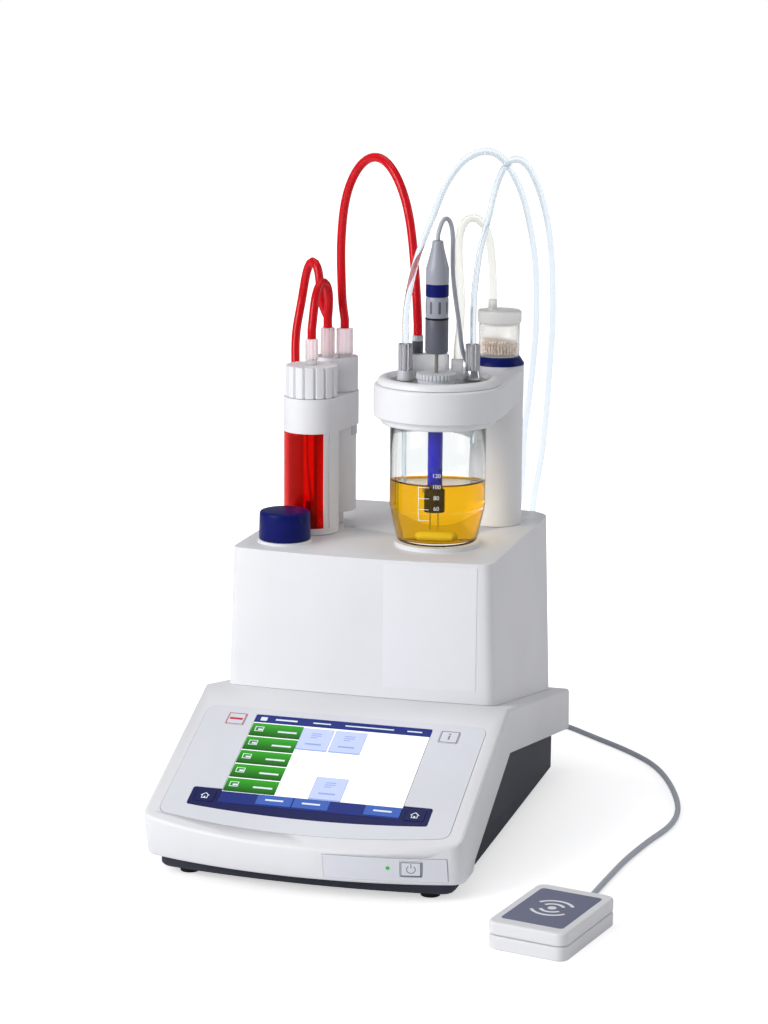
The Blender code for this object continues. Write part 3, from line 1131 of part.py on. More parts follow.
def make_burette():
    place = (BURETTE_X, BURETTE_Y, 0)
    deck = TOWER_TOP_Z + GAP
    facing = VIEW_TURN - pi / 2
    valve_way = (VALVE_X - BURETTE_X, VALVE_Y - BURETTE_Y)
    bore = BARREL_RADIUS + GAP
    frame = plate("burette_frame", belt((0, 0), FRAME_RADIUS, valve_way, VALVE_BAND_RADIUS, ROUND_SMALL),
                  BAND_HIGH_Z - BAND_LOW_Z, BAND_LOW_Z)
    keep(frame, white_plastic, place)
    bevel(frame, BAND_EDGE, 1)
    inner = FRAME_RADIUS - FRAME_WALL
    base_high = deck + FRAME_BASE_HEIGHT
    base_floor = deck + FRAME_WALL
    foot = turned("frame_base", [
        (inner, base_high), (FRAME_RADIUS, base_high), (FRAME_RADIUS, deck), (bore, deck),
        (bore, base_floor), (inner, base_floor)], closed=True)
    outside = FRAME_RADIUS - POST_INSET_DEPTH
    inside = inner + POST_INSET_DEPTH
    start = facing + POST_FROM
    groove = facing + POST_GROOVE
    end = facing + POST_TO
    post_outline = (
        arc((0, 0), outside, start, groove - POST_GROOVE_HALF, 2)
        + arc((0, 0), outside - POST_GROOVE_DEPTH, groove - POST_GROOVE_HALF, groove + POST_GROOVE_HALF, 1)
        + arc((0, 0), outside, groove + POST_GROOVE_HALF, end, ROUND_TINY)
        + arc((0, 0), inside, end, start, ROUND_TINY))
    post = plate("frame_post", post_outline, BAND_LOW_Z - base_floor + FUSE * 2, base_floor - FUSE)
    boolean(frame, post, "UNION", place)
    boolean(frame, foot, "UNION", place)
    bored(frame, bore, BAND_LOW_Z - FUSE, BAND_HIGH_Z + FUSE, (BURETTE_X, BURETTE_Y))
    valve = (VALVE_X, VALVE_Y)
    bored(frame, VALVE_SPIGOT_RADIUS + GAP, VALVE_SPIGOT_LOW_Z - GAP, BAND_HIGH_Z + FUSE, valve, ROUND)
    bored(frame, ROTOR_STEM_RADIUS + GAP, BAND_LOW_Z - FUSE, VALVE_SPIGOT_LOW_Z, valve)

    sleeve_radius = inner - GAP
    sleeve = turned("light_sleeve", [
        (sleeve_radius, BAND_LOW_Z - GAP), (sleeve_radius, base_floor + GAP),
        (sleeve_radius - SLEEVE_WALL, base_floor + GAP), (sleeve_radius - SLEEVE_WALL, BAND_LOW_Z - GAP)],
        closed=True)
    keep(sleeve, red_sleeve, place)
    barrel = turned("burette_barrel", [
        (BARREL_RADIUS, BARREL_TOP_Z), (BARREL_RADIUS, deck), (BARREL_BORE, deck),
        (BARREL_BORE, BARREL_TOP_Z)], closed=True, sides=ROUND_SMALL)
    keep(barrel, clear_glass, place)
    rod_z = PISTON_Z - PISTON_TRAVEL - ROD_SPARE
    piston = turned("burette_piston", [
        (0, PISTON_Z + PISTON_HEIGHT), (PISTON_RADIUS, PISTON_Z + PISTON_HEIGHT), (PISTON_RADIUS, PISTON_Z),
        (ROD_RADIUS, PISTON_Z), (ROD_RADIUS, rod_z), (0, rod_z)], sides=ROUND_SMALL)
    keep(piston, dark_metal, place)
    drive_top = TOWER_TOP_Z - TOWER_WALL - GAP
    rod_end = rod_z - GAP
    drive = turned("burette_motor", [
        (DRIVE_BORE, drive_top), (DRIVE_RADIUS, drive_top), (DRIVE_RADIUS, drive_top - DRIVE_DROP),
        (0, drive_top - DRIVE_DROP), (0, rod_end), (DRIVE_BORE, rod_end)], closed=True, sides=ROUND_SMALL)
    keep(drive, dark_metal, place)

    cap_low = BAND_HIGH_Z + GAP
    cap = plate("burette_cap", fluted(RIBBED_RADIUS, RIBBED_GROOVE, RIBBED_COUNT),
                RIBBED_TOP_Z - cap_low, cap_low)
    keep(cap, white_plastic, place)
    bored(cap, bore, cap_low - FUSE, BARREL_TOP_Z + GAP, (BURETTE_X, BURETTE_Y))
    keep_fitting("fitting_burette", BURETTE_FITTING_RADIUS, RIBBED_TOP_Z + GAP, BURETTE_FITTING_TOP_Z,
                 (BURETTE_X, BURETTE_Y))


def make_valve():
    spot = (VALVE_X, VALVE_Y)
    low = BAND_HIGH_Z + GAP
    floor_z = VALVE_TOP_Z - VALVE_RIM_DEPTH
    rim = VALVE_RADIUS - VALVE_RIM
    plug_low = VALVE_SPIGOT_LOW_Z
    plug_high = plug_low + ROTOR_PLUG_HEIGHT
    bore = ROTOR_PLUG_RADIUS + GAP
    head = turned("valve_head", [
        (0, floor_z), (rim, floor_z), (rim, VALVE_TOP_Z), (VALVE_RADIUS, VALVE_TOP_Z), (VALVE_RADIUS, low),
        (VALVE_SPIGOT_RADIUS, low), (VALVE_SPIGOT_RADIUS, VALVE_SPIGOT_LOW_Z), (bore, VALVE_SPIGOT_LOW_Z),
        (bore, plug_high + GAP), (0, plug_high + GAP)])
    keep(head, white_plastic, (*spot, 0))
    body, neck = fitting("suction_fitting", SUCTION_RADIUS, floor_z - FUSE, SUCTION_TOP_Z)
    suction = beside(spot, SUCTION_PLACE)
    boolean(body, neck, "UNION", (*suction, 0))
    boolean(head, body, "UNION", (*suction, 0))

    stem_z = plug_low - ROTOR_STEM_DEPTH
    rotor = turned("valve_rotor", [
        (0, plug_high), (ROTOR_PLUG_RADIUS, plug_high), (ROTOR_PLUG_RADIUS, plug_low),
        (ROTOR_STEM_RADIUS, plug_low), (ROTOR_STEM_RADIUS, stem_z), (0, stem_z)], sides=ROUND_SMALL)
    keep(rotor, pale_plastic, (*spot, 0))
    turret_top = BAND_LOW_Z - GAP
    stem_bore = ROTOR_STEM_RADIUS + GAP
    turret = turned("valve_drive", [
        (stem_bore, turret_top), (TURRET_RADIUS, turret_top), (TURRET_RADIUS, TURRET_LOW_Z),
        (TURRET_FOOT_RADIUS, TURRET_LOW_Z), (TURRET_FOOT_RADIUS, TOWER_TOP_Z + GAP), (0, TOWER_TOP_Z + GAP),
        (0, stem_z - GAP), (stem_bore, stem_z - GAP)], closed=True)
    keep(turret, white_plastic, (*spot, 0))
    keep_fitting("fitting_transfer", TRANSFER_RADIUS, floor_z + GAP, TRANSFER_TOP_Z,
                 beside(spot, TRANSFER_PLACE))
    keep_fitting("fitting_dosing", DOSING_RADIUS, floor_z + GAP, DOSING_TOP_Z, beside(spot, DOSING_PLACE))


def make_drying_tube():
    place = (COLUMN_X, COLUMN_Y, 0)
    low = RING_HIGH_Z + GAP
    collar = cylinder("column_collar", COLLAR_LOW_RADIUS, low, COLLAR_HIGH_Z, ROUND, COLLAR_HIGH_RADIUS)
    keep(collar, navy_plastic, place)
    cup_low = COLLAR_HIGH_Z + GAP
    inner = CUP_RADIUS - CUP_WALL
    cup = turned("drying_cup", [
        (inner, CUP_TOP_Z), (CUP_RADIUS, CUP_TOP_Z), (CUP_RADIUS, cup_low), (0, cup_low),
        (0, cup_low + CUP_WALL), (inner, cup_low + CUP_WALL)], closed=True)
    keep(cup, clear_glass, place)
    cap_low = CUP_TOP_Z + GAP
    plug = inner - GAP
    cap = turned("drying_cap", [
        (0, NIPPLE_TOP_Z), (NIPPLE_RADIUS, NIPPLE_TOP_Z), (NIPPLE_RADIUS, CUP_CAP_TOP_Z),
        (CUP_CAP_RADIUS, CUP_CAP_TOP_Z), (CUP_CAP_RADIUS, cap_low), (plug, cap_low),
        (plug, cap_low - CUP_PLUG_DEPTH), (0, cap_low - CUP_PLUG_DEPTH)])
    keep(cap, milky_plastic, place)


def make_reader():
    """A two-shell box on the table, its top and bottom meeting half way up."""
    place = (READER_X, READER_Y, 0)
    turn = (0, 0, READER_TURN)
    outer = rounded_box(READER_WIDTH, READER_LENGTH, READER_CORNER)
    inner = rounded_box(READER_WIDTH - 2 * READER_WALL, READER_LENGTH - 2 * READER_WALL,
                        READER_CORNER - READER_WALL)
    shells = (("reader_base", -CUT, READER_SEAM_Z, READER_WALL, READER_HEIGHT),
              ("reader_top", READER_SEAM_Z + GAP, READER_HEIGHT + CUT, -READER_WALL,
               READER_HEIGHT - READER_WALL))
    for name, low, high, hollow_low, hollow_high in shells:
        shell = plate(name, outer, READER_HEIGHT, 0)
        keep(shell, white_plastic, place, turn)
        bevel(shell, READER_EDGE)
        keeper = block(name + "_half", (READER_WIDTH * 2, READER_LENGTH * 2, high - low),
                       (0, 0, (low + high) / 2))
        boolean(shell, keeper, "INTERSECT", place, turn)
        boolean(shell, plate(name + "_hollow", inner, hollow_high - hollow_low, hollow_low),
                "DIFFERENCE", place, turn)


def coil_points(centre, diameter, start, way):
    """A flat spiral from its outer end inwards, led in by one diameter of straight tube."""
    spacing = diameter + COIL_SPACING
    count = COIL_TURNS * COIL_POINTS
    points = []
    for i in range(count + 1):
        angle = start + way * 2 * pi * i / COIL_POINTS
        reach = COIL_INNER + spacing * COIL_TURNS * (1 - i / count)
        points.append(Vector((centre[0] + reach * cos(angle), centre[1] + reach * sin(angle),
                              diameter / 2 + GAP)))
    ahead = Vector((way * sin(start), -way * cos(start), 0))
    return [points[0] + ahead * diameter] + points, ahead


def least_gap(points, diameter):
    """The least clearance of a wound tube to itself, measured between its points."""
    skip = COIL_POINTS // 2
    nearest = min((a - b).length for i, a in enumerate(points) for b in points[i + skip:])
    return nearest - diameter


def led(spot, way, diameter):
    """A hose's end at a fitting's face, and the point where it may start to bend."""
    face = Vector(spot) + Vector(way) * GAP
    return [face, face + Vector(way) * diameter]


def keep_hose(name, start, route, end, diameter, material, resolution=TUBE_STEPS):
    points = start + [Vector(p) for p in route] + end[::-1]
    path = smooth_route(points, diameter * ROUTE_STEP_SHARE)
    keep(hose(name, path, diameter, resolution), material)


def make_cord(name, coil_name, start, route, diameter, material, centre, angle, way):
    """A hose from a fitting to its coil: the free stretch and the coil are two nodes."""
    points, ahead = coil_points(centre, diameter, angle, way)
    print(coil_name, "least gap to itself in metres:", round(least_gap(points, diameter), 5))
    keep_hose(name, start, route, led(points[0], ahead, diameter), diameter, material, CORD_STEPS)
    keep(hose(coil_name, points, diameter, CORD_STEPS), material)


def make_hoses():
    valve = (VALVE_X, VALVE_Y)
    vessel = (VESSEL_X, VESSEL_Y)
    up = (0, 0, 1)
    back = (0, 1, 0)
    keep_hose("tube_transfer", led((BURETTE_X, BURETTE_Y, BURETTE_FITTING_TOP_Z), up, RED_TUBE),
              TRANSFER_ROUTE, led((*beside(valve, TRANSFER_PLACE), TRANSFER_TOP_Z), up, RED_TUBE),
              RED_TUBE, red_tube)
    keep_hose("tube_dosing", led((*beside(valve, DOSING_PLACE), DOSING_TOP_Z), up, RED_TUBE),
              DOSING_ROUTE, led((*beside(vessel, DOSING_NUT_PLACE), DOSING_NUT_TOP_Z), up, RED_TUBE),
              RED_TUBE, red_tube)
    keep_hose("drying_hose", led((COLUMN_X, COLUMN_Y, NIPPLE_TOP_Z), up, DRYING_TUBE),
              DRYING_ROUTE, led((*beside(vessel, VENT_PLACE), VENT_TOP_Z), up, DRYING_TUBE),
              DRYING_TUBE, milky_plastic)

    suction = led((*beside(valve, SUCTION_PLACE), SUCTION_TOP_Z), up, RED_TUBE)
    make_cord("tube_bottle", "bottle_coil", suction, BOTTLE_ROUTE, RED_TUBE, red_tube, BOTTLE_COIL, pi, -1)
    solvent = led((*beside(vessel, (-KNOB_SPREAD, KNOB_BACK)), KNOB_TOP_Z), up, CLEAR_TUBE)
    make_cord("solvent_tube", "solvent_coil", solvent, SOLVENT_ROUTE, CLEAR_TUBE, clear_tube,
              SOLVENT_COIL, -pi / 2, -1)
    waste = led((*beside(vessel, (KNOB_SPREAD, KNOB_BACK)), KNOB_TOP_Z), up, CLEAR_TUBE)
    make_cord("waste_tube", "waste_coil", waste, WASTE_ROUTE, CLEAR_TUBE, clear_tube, WASTE_COIL, 0, 1)

    keep_hose("sensor_cable", led((*beside(vessel, SENSOR_PLACE), HEAD_TOP_Z), up, SENSOR_CABLE),
              SENSOR_ROUTE, led((SENSOR_SOCKET_X, socket_y, REAR_PANEL_Z), back, SENSOR_CABLE),
              SENSOR_CABLE, grey_cable, CORD_STEPS)
    tail = Vector((-sin(READER_TURN), cos(READER_TURN), 0))
    gland = Vector((READER_X, READER_Y, READER_EXIT_Z)) + tail * READER_LENGTH / 2
    keep_hose("reader_cable", led((reader_socket_x, socket_y, REAR_PANEL_Z), back, READER_CABLE),
              READER_ROUTE, led(gland, tail, READER_CABLE), READER_CABLE, grey_cable, CORD_STEPS)


clear_scene()
model = new_collection("bench_titrator")
cutters = new_collection("titrator_cutters")
origin = empty("footprint_middle", (-middle_x, -middle_y, 0))

white_plastic = finish("white_plastic", 0.82, 0.83, 0.86, 0.4)
pale_plastic = finish("pale_plastic", 0.62, 0.64, 0.68, 0.45)
slate_plastic = finish("slate_plastic", 0.045, 0.052, 0.075, 0.45)
navy_plastic = finish("navy_plastic", 0.012, 0.018, 0.11, 0.35)
blue_plastic = finish("blue_plastic", 0.012, 0.012, 0.30, 0.3)
grey_plastic = finish("grey_plastic", 0.22, 0.24, 0.29, 0.4)
black_rubber = finish("black_rubber", 0.02, 0.02, 0.02, 0.8)
screen_white = finish("screen_white", 0.75, 0.78, 0.85, 0.2)
milky_plastic = finish("milky_plastic", 0.70, 0.66, 0.68, 0.4)
red_sleeve = finish("red_sleeve", 0.55, 0.01, 0.005, 0.15)
red_tube = finish("red_tube", 0.60, 0.008, 0.015, 0.3)
clear_tube = finish("clear_tube", 0.75, 0.77, 0.80, 0.15)
clear_glass = finish("clear_glass", 0.85, 0.88, 0.90, 0.05, 0.0, 0.3)
grey_cable = finish("grey_cable", 0.38, 0.41, 0.50, 0.5)
board_green = finish("board_green", 0.02, 0.12, 0.04, 0.5)
dark_metal = finish("dark_metal", 0.18, 0.18, 0.19, 0.35, 1.0)
polished_metal = finish("polished_metal", 0.70, 0.70, 0.72, 0.2, 1.0)

cover = make_upper_shell()
make_lower_housing()
make_tower()
make_front_panel(cover)
make_power_panel(cover)
make_rear_panel(cover)
make_stirring()
make_vessel_stand()
make_lid()
make_sensor()
make_parking_cap()
make_burette()
make_valve()
make_drying_tube()
make_reader()
make_hoses()
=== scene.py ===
"""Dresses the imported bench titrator: camera, light, cords, detailed pieces and finishes.

Shapes are given in millimetres in the instrument's own frame: X from its centre plane,
Y from the front edge of its cover, Z from the bench. show() moves them to the row frame.
"""
import random
from math import atan2, cos, pi, radians, sin, sqrt

import bmesh
import bpy
from mathutils import Matrix, Vector


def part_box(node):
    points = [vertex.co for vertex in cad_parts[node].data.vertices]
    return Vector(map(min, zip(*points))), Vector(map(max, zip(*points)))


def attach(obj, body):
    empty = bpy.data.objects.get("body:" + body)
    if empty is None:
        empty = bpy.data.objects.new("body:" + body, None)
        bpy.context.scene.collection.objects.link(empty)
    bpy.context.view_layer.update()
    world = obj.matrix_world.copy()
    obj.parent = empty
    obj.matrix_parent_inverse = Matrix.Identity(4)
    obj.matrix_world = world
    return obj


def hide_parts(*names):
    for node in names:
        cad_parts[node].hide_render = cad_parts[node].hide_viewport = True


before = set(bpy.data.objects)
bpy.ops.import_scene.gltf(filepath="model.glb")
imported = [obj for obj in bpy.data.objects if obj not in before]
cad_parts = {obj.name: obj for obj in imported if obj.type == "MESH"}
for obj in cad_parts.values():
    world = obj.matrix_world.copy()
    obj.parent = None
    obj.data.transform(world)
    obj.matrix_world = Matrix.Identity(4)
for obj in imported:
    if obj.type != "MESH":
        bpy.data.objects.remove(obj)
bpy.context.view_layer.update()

MM = 0.001
VESSEL = (39.0, 176.0)
BURETTE = (-55.0, 193.0)
VALVE = (-47.2, 225.4)
COLUMN = (60.0, 259.0)
PARKING = (-61.4, 154.0)
READER = (168.5, -34.0)
READER_TURN = radians(-12)
VIEW_TURN = radians(15.8)
TO_CAMERA = VIEW_TURN - pi / 2
SLOPE = radians(23.717)
LIQUID_Z = 233.6

screen_low, screen_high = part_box("touch_screen")
glass_low, glass_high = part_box("glass_vessel")
ORIGIN = Vector(((screen_low[0] + screen_high[0]) / 2,
                 (glass_low[1] + glass_high[1]) / 2 - VESSEL[1] * MM, 0))


def beside(axis, right, back):
    """A plan point set off to the right of an axis and behind it, as the camera sees them."""
    return (axis[0] + right * cos(VIEW_TURN) - back * sin(VIEW_TURN),
            axis[1] + right * sin(VIEW_TURN) + back * cos(VIEW_TURN))


SENSOR = beside(VESSEL, -2.0, -16.5)
KNOB_LEFT = beside(VESSEL, -22.3, -2.0)
KNOB_RIGHT = beside(VESSEL, 22.3, -2.0)
DOSING_BLOCK = beside(VESSEL, -5.5, 9.0)
DOSING_NUT = beside(VESSEL, -14.2, 9.0)
VENT = beside(VESSEL, 12.5, 12.0)
SPOUT = beside(COLUMN, -4.8, 0.0)
TRANSFER_PORT = beside(VALVE, -6.0, -6.0)
DOSING_PORT = beside(VALVE, 5.6, -1.0)
SUCTION_PORT = beside(VALVE, -6.2, 6.2)


def linked(name, data):
    """A new object in the scene."""
    made = bpy.data.objects.new(name, data)
    bpy.context.scene.collection.objects.link(made)
    return made


# Camera

EYE = Vector((490.536, -1543.602, 575.823)) * MM + ORIGIN
AZIMUTH = radians(15.864)
PITCH = radians(11.609)
ROLL = radians(0.476)
FOCAL_PIXELS = 2700
PICTURE_HEIGHT = 1024
SENSOR_SIZE = 36

ahead = Vector((-sin(AZIMUTH) * cos(PITCH), cos(AZIMUTH) * cos(PITCH), -sin(PITCH)))
level = Vector((cos(AZIMUTH), sin(AZIMUTH), 0))
upright = level.cross(ahead)
right = level * cos(ROLL) + upright * sin(ROLL)
up = upright * cos(ROLL) - level * sin(ROLL)
lens = bpy.data.cameras.new("photo_lens")
lens.sensor_width = SENSOR_SIZE
lens.lens = FOCAL_PIXELS * SENSOR_SIZE / PICTURE_HEIGHT
lens.clip_end = 20
camera = linked("photo_camera", lens)
camera.matrix_world = Matrix.Translation(EYE) @ Matrix((right, up, -ahead)).transposed().to_4x4()
bpy.context.scene.camera = camera
bpy.context.scene.view_settings.view_transform = "Standard"


# Materials

def hexed(code):
    """An sRGB hex colour as the linear values that Blender's sockets take."""
    parts = [int(code[i:i + 2], 16) / 255 for i in (1, 3, 5)]
    linear = [v / 12.92 if v <= 0.04045 else ((v + 0.055) / 1.055) ** 2.4 for v in parts]
    return (*linear, 1)


def add(tree, kind, settings=None, links=None):
    """Add a node, set its properties and sockets by name, and link outputs to its sockets."""
    made = tree.nodes.new(kind)
    for name, value in (settings or {}).items():
        if name in made.inputs:
            made.inputs[name].default_value = value
        else:
            setattr(made, name, value)
    for name, source in (links or {}).items():
        tree.links.new(source, made.inputs[name])
    return made


def blank(name, colour, roughness, **sockets):
    """A material with its Principled shader set."""
    made = bpy.data.materials.new(name)
    made.use_nodes = True
    shader = made.node_tree.nodes["Principled BSDF"]
    shader.inputs["Base Color"].default_value = hexed(colour)
    shader.inputs["Roughness"].default_value = roughness
    for socket, value in sockets.items():
        shader.inputs[socket.replace("_", " ")].default_value = value
    made.diffuse_color = hexed(colour)
    return made, made.node_tree, shader


def relief(tree, shader, noise, strength, depth):
    """Give a surface a bump, depth in millimetres, and hand on the coordinates that it is laid by."""
    place = add(tree, "ShaderNodeTexCoord").outputs["Object"]
    swell = add(tree, "ShaderNodeTexNoise", noise, {"Vector": place})
    bump = add(tree, "ShaderNodeBump", {"Strength": strength, "Distance": depth * MM},
               {"Height": swell.outputs["Fac"]})
    tree.links.new(bump.outputs["Normal"], shader.inputs["Normal"])
    return place


def shade(code, share):
    """A hex colour made darker."""
    return "#%02X%02X%02X" % tuple(round(int(code[i:i + 2], 16) * share) for i in (1, 3, 5))


def moulded(name, colour, roughness, grain=0.35, depth=0.010, drift=0.03, **sockets):
    """Injection-moulded plastic: a spark-eroded grain, and roughness and tone that drift a little.

    grain is the pit spacing and depth the pit depth, both in millimetres.
    """
    made, tree, shader = blank(name, colour, roughness, **sockets)
    place = relief(tree, shader, {"Scale": 1 / (grain * MM), "Detail": 2.0, "Roughness": 0.55}, 0.6, depth)
    cloud = add(tree, "ShaderNodeTexNoise", {"Scale": 14.0, "Detail": 3.0}, {"Vector": place})
    wear = add(tree, "ShaderNodeMapRange", {"To Min": roughness - drift, "To Max": roughness + drift},
               {"Value": cloud.outputs["Fac"]})
    tree.links.new(wear.outputs["Result"], shader.inputs["Roughness"])
    tone = add(tree, "ShaderNodeMixRGB", {"Color1": hexed(colour), "Color2": hexed(shade(colour, 0.94))},
               {"Fac": cloud.outputs["Fac"]})
    tree.links.new(tone.outputs["Color"], shader.inputs["Base Color"])
    return made


def waved(name, colour, roughness, spacing, depth, **sockets):
    """Drawn or cast stock and film: smooth, with a slow waviness in millimetres."""
    made, tree, shader = blank(name, colour, roughness, **sockets)
    relief(tree, shader, {"Scale": 1 / (spacing * MM), "Detail": 1.0}, 0.5, depth)
    return made


# Housings: ABS and polycarbonate blends, moulded with a fine even grain that scatters the highlight
white_abs = moulded("white_moulded_abs", "#F1F2F6", 0.42, IOR=1.53)
slate_pc = moulded("slate_moulded_pc_abs", "#3B3F4D", 0.5, grain=0.5, depth=0.016, IOR=1.55)
tray_pc = moulded("tray_moulded_pc_abs", "#2F3341", 0.55, grain=0.5, depth=0.016, IOR=1.55,
                  Specular_IOR_Level=0.3)
grey_pc = moulded("grey_moulded_pc", "#A2A6B2", 0.36, IOR=1.55)
pale_pc = moulded("pale_grey_moulded_pc", "#D4D7DD", 0.4, IOR=1.55)
dark_grey_pc = moulded("sensor_grey_moulded_pc", "#5A5E6A", 0.38, IOR=1.55)
# Navy pieces: gloss-moulded, so the grain is faint and a clear highlight runs along their edges
navy_gloss = moulded("navy_gloss_moulded_abs", "#101A66", 0.3, grain=0.6, depth=0.004, IOR=1.53,
                     Specular_IOR_Level=0.1)
navy_panel = moulded("navy_key_film", "#161E5C", 0.34, grain=0.4, depth=0.006, IOR=1.57,
                     Specular_IOR_Level=0.2)
bezel_film = moulded("white_panel_film", "#EAECF5", 0.34, grain=0.3, depth=0.006, IOR=1.57)
# Feet: nitrile rubber, dull with a coarse grain
foot_rubber = moulded("black_nitrile_rubber", "#1B1B1D", 0.85, grain=0.8, depth=0.03, IOR=1.52)
# Lid floor: moulded PVDF with metal flake, which gives a soft pearly grey
lid_grey = moulded("grey_flake_pvdf", "#A3A49F", 0.36, grain=0.6, depth=0.01, Metallic=0.35)
# Fittings: milled from milky ETFE, light passes a little way in and edges glow
milky_etfe = moulded("milky_milled_etfe", "#FFF0F5", 0.4, grain=0.25, depth=0.006, IOR=1.25,
                     Transmission_Weight=0.55, Subsurface_Weight=0.4, Subsurface_Scale=0.002)
# Drying cap and fitting necks: thin moulded polypropylene, cloudy
milky_pp = moulded("milky_moulded_polypropylene", "#F6F6F5", 0.32, grain=0.4, depth=0.004, IOR=1.40,
                   Transmission_Weight=0.55)
# Blocks on the lid and the bar's coat: PTFE, milled with a coarse speckle or moulded smooth
speckled_ptfe = moulded("white_milled_ptfe", "#F6F7FB", 0.5, grain=0.9, depth=0.03, drift=0.06, IOR=1.35,
                        Transmission_Weight=0.5, Subsurface_Weight=0.2, Subsurface_Scale=0.002)
bar_ptfe = moulded("white_ptfe_bar_coat", "#F6F4EC", 0.35, IOR=1.35)
# Silicone hose: cloudy and slightly yellow, dull skin
silicone = moulded("milky_silicone_hose", "#FCFCF7", 0.4, grain=0.5, depth=0.004, IOR=1.25,
                   Transmission_Weight=0.76)
# Cable jackets: matt PVC
cable_pvc = moulded("grey_pvc_jacket", "#BBBFCB", 0.42, grain=0.3, depth=0.008, IOR=1.53)
# Sensor: a glossy epoxy shaft and a thin dull stem
sensor_blue = moulded("blue_epoxy_shaft", "#18129C", 0.2, grain=0.8, depth=0.002, IOR=1.56,
                      Specular_IOR_Level=0.12)
stem_brown = moulded("brown_grey_stem", "#8B8278", 0.35, IOR=1.5)
# Inside: a lacquered board and drives of dark anodised aluminium
board_green = moulded("green_solder_resist", "#1E5A34", 0.35, grain=1.2, depth=0.02, IOR=1.55)
motor_black = moulded("black_anodised_drive", "#3A3B3E", 0.35, grain=0.4, depth=0.008, Metallic=0.8)
# Drying granules: molecular sieve beads, chalky with browner ones among them
granule_clay, granule_tree, granule_shader = blank("sieve_granule_clay", "#D8C6B2", 0.85)
granule_place = add(granule_tree, "ShaderNodeTexCoord")
granule_spots = add(granule_tree, "ShaderNodeTexVoronoi", {"Scale": 1 / (2.2 * MM)},
                    {"Vector": granule_place.outputs["Object"]})
granule_tone = add(granule_tree, "ShaderNodeMixRGB", {"Color1": hexed("#F2E2D0"), "Color2": hexed("#9A7456")},
                   {"Fac": granule_spots.outputs["Color"]})
granule_tree.links.new(granule_tone.outputs["Color"], granule_shader.inputs["Base Color"])

# Tinted tubing and sleeve: clear fluoropolymer and acrylic coloured against light, glossy outside
red_tubing = waved("red_tinted_fep_tube", "#E01020", 0.16, 9.0, 0.02, IOR=1.40, Transmission_Weight=0.3,
                   Specular_IOR_Level=0.3)
red_sleeve = waved("red_tinted_acrylic", "#E01408", 0.08, 12.0, 0.01, IOR=1.49, Transmission_Weight=0.9,
                   Specular_IOR_Level=0.06, Specular_Tint=(1.0, 0.12, 0.08, 1.0))
clear_tubing = waved("clear_fep_tube", "#E0E8EF", 0.12, 9.0, 0.01, IOR=1.28, Transmission_Weight=0.84)
# Vessel and barrel: drawn borosilicate glass, perfectly smooth with a slow waviness
borosilicate = waved("clear_borosilicate", "#FBFDFD", 0.0, 25.0, 0.008, IOR=1.47, Transmission_Weight=1.0,
                     Specular_IOR_Level=0.3, Specular_Tint=(0.4, 0.4, 0.4, 1.0))
# Painted shade: dark red glass-like strips inside the sleeve that stand for the shaded sides of the barrel
# behind it
painted_barrel_shade = waved("painted_barrel_shade", "#6C120E", 0.1, 25.0, 0.008, IOR=1.47, Transmission_Weight=0.1)
# Drying cup: moulded styrene, clear and a little scuffed
cup_styrene = waved("clear_moulded_styrene", "#F4F4F2", 0.22, 6.0, 0.01, IOR=1.59, Transmission_Weight=0.9)
# Titration liquid: methanol coloured by iodine
amber_liquid = waved("amber_iodine_solution", "#D49C02", 0.0, 20.0, 0.005, IOR=1.33, Transmission_Weight=1.0,
                     Specular_IOR_Level=0.3, Specular_Tint=(0.6, 0.4, 0.1, 1.0))
# Knobs: turned stainless steel, polished along their flutes
polished_steel = waved("polished_stainless", "#C9C9CE", 0.2, 3.0, 0.01, Metallic=1.0)


def lit(name, colour, glow=0.3):
    """A colour of the lit display under its glass: even, slightly shiny and shining a little itself."""
    return waved(name, colour, 0.25, 40.0, 0.002, IOR=1.52, Specular_IOR_Level=0.2,
                 Emission_Color=hexed(colour), Emission_Strength=glow)


# What the display shows, and printed ink: a thin dull film
screen_glass = lit("lit_screen_white", "#FBFCFF")
print_white = waved("white_screen_print", "#EEF0F4", 0.5, 2.0, 0.002)
glyph_white = lit("white_lit_glyph", "#E6F0F6", 0.1)
glyph_grey = waved("grey_printed_line", "#7E828F", 0.45, 2.0, 0.002)
glyph_red = waved("red_printed_line", "#C83044", 0.45, 2.0, 0.002)
title_navy = lit("lit_screen_navy", "#1F3080", 0.1)
soft_blue = lit("lit_screen_mid_blue", "#4064BA", 0.15)
tile_blue = lit("lit_screen_pale_blue", "#BCC8EC")
tile_edge = lit("lit_screen_tile_edge", "#8FA2D6")
# O-ring and sensor tip, the screen's ground edge, films and the lens of the status light
ring_black = waved("black_nitrile_ring", "#0E0F12", 0.6, 2.0, 0.004, Specular_IOR_Level=0.2)
glass_edge = waved("dark_ground_glass_edge", "#1B2350", 0.5, 2.0, 0.002, Specular_IOR_Level=0.2)
label_violet = waved("slate_violet_label", "#71758F", 0.42, 5.0, 0.003)
label_grey = waved("pale_plate_film", "#EFF0F5", 0.36, 8.0, 0.003)
led_green = waved("green_status_lens", "#3FBF4A", 0.2, 2.0, 0.002, IOR=1.49)


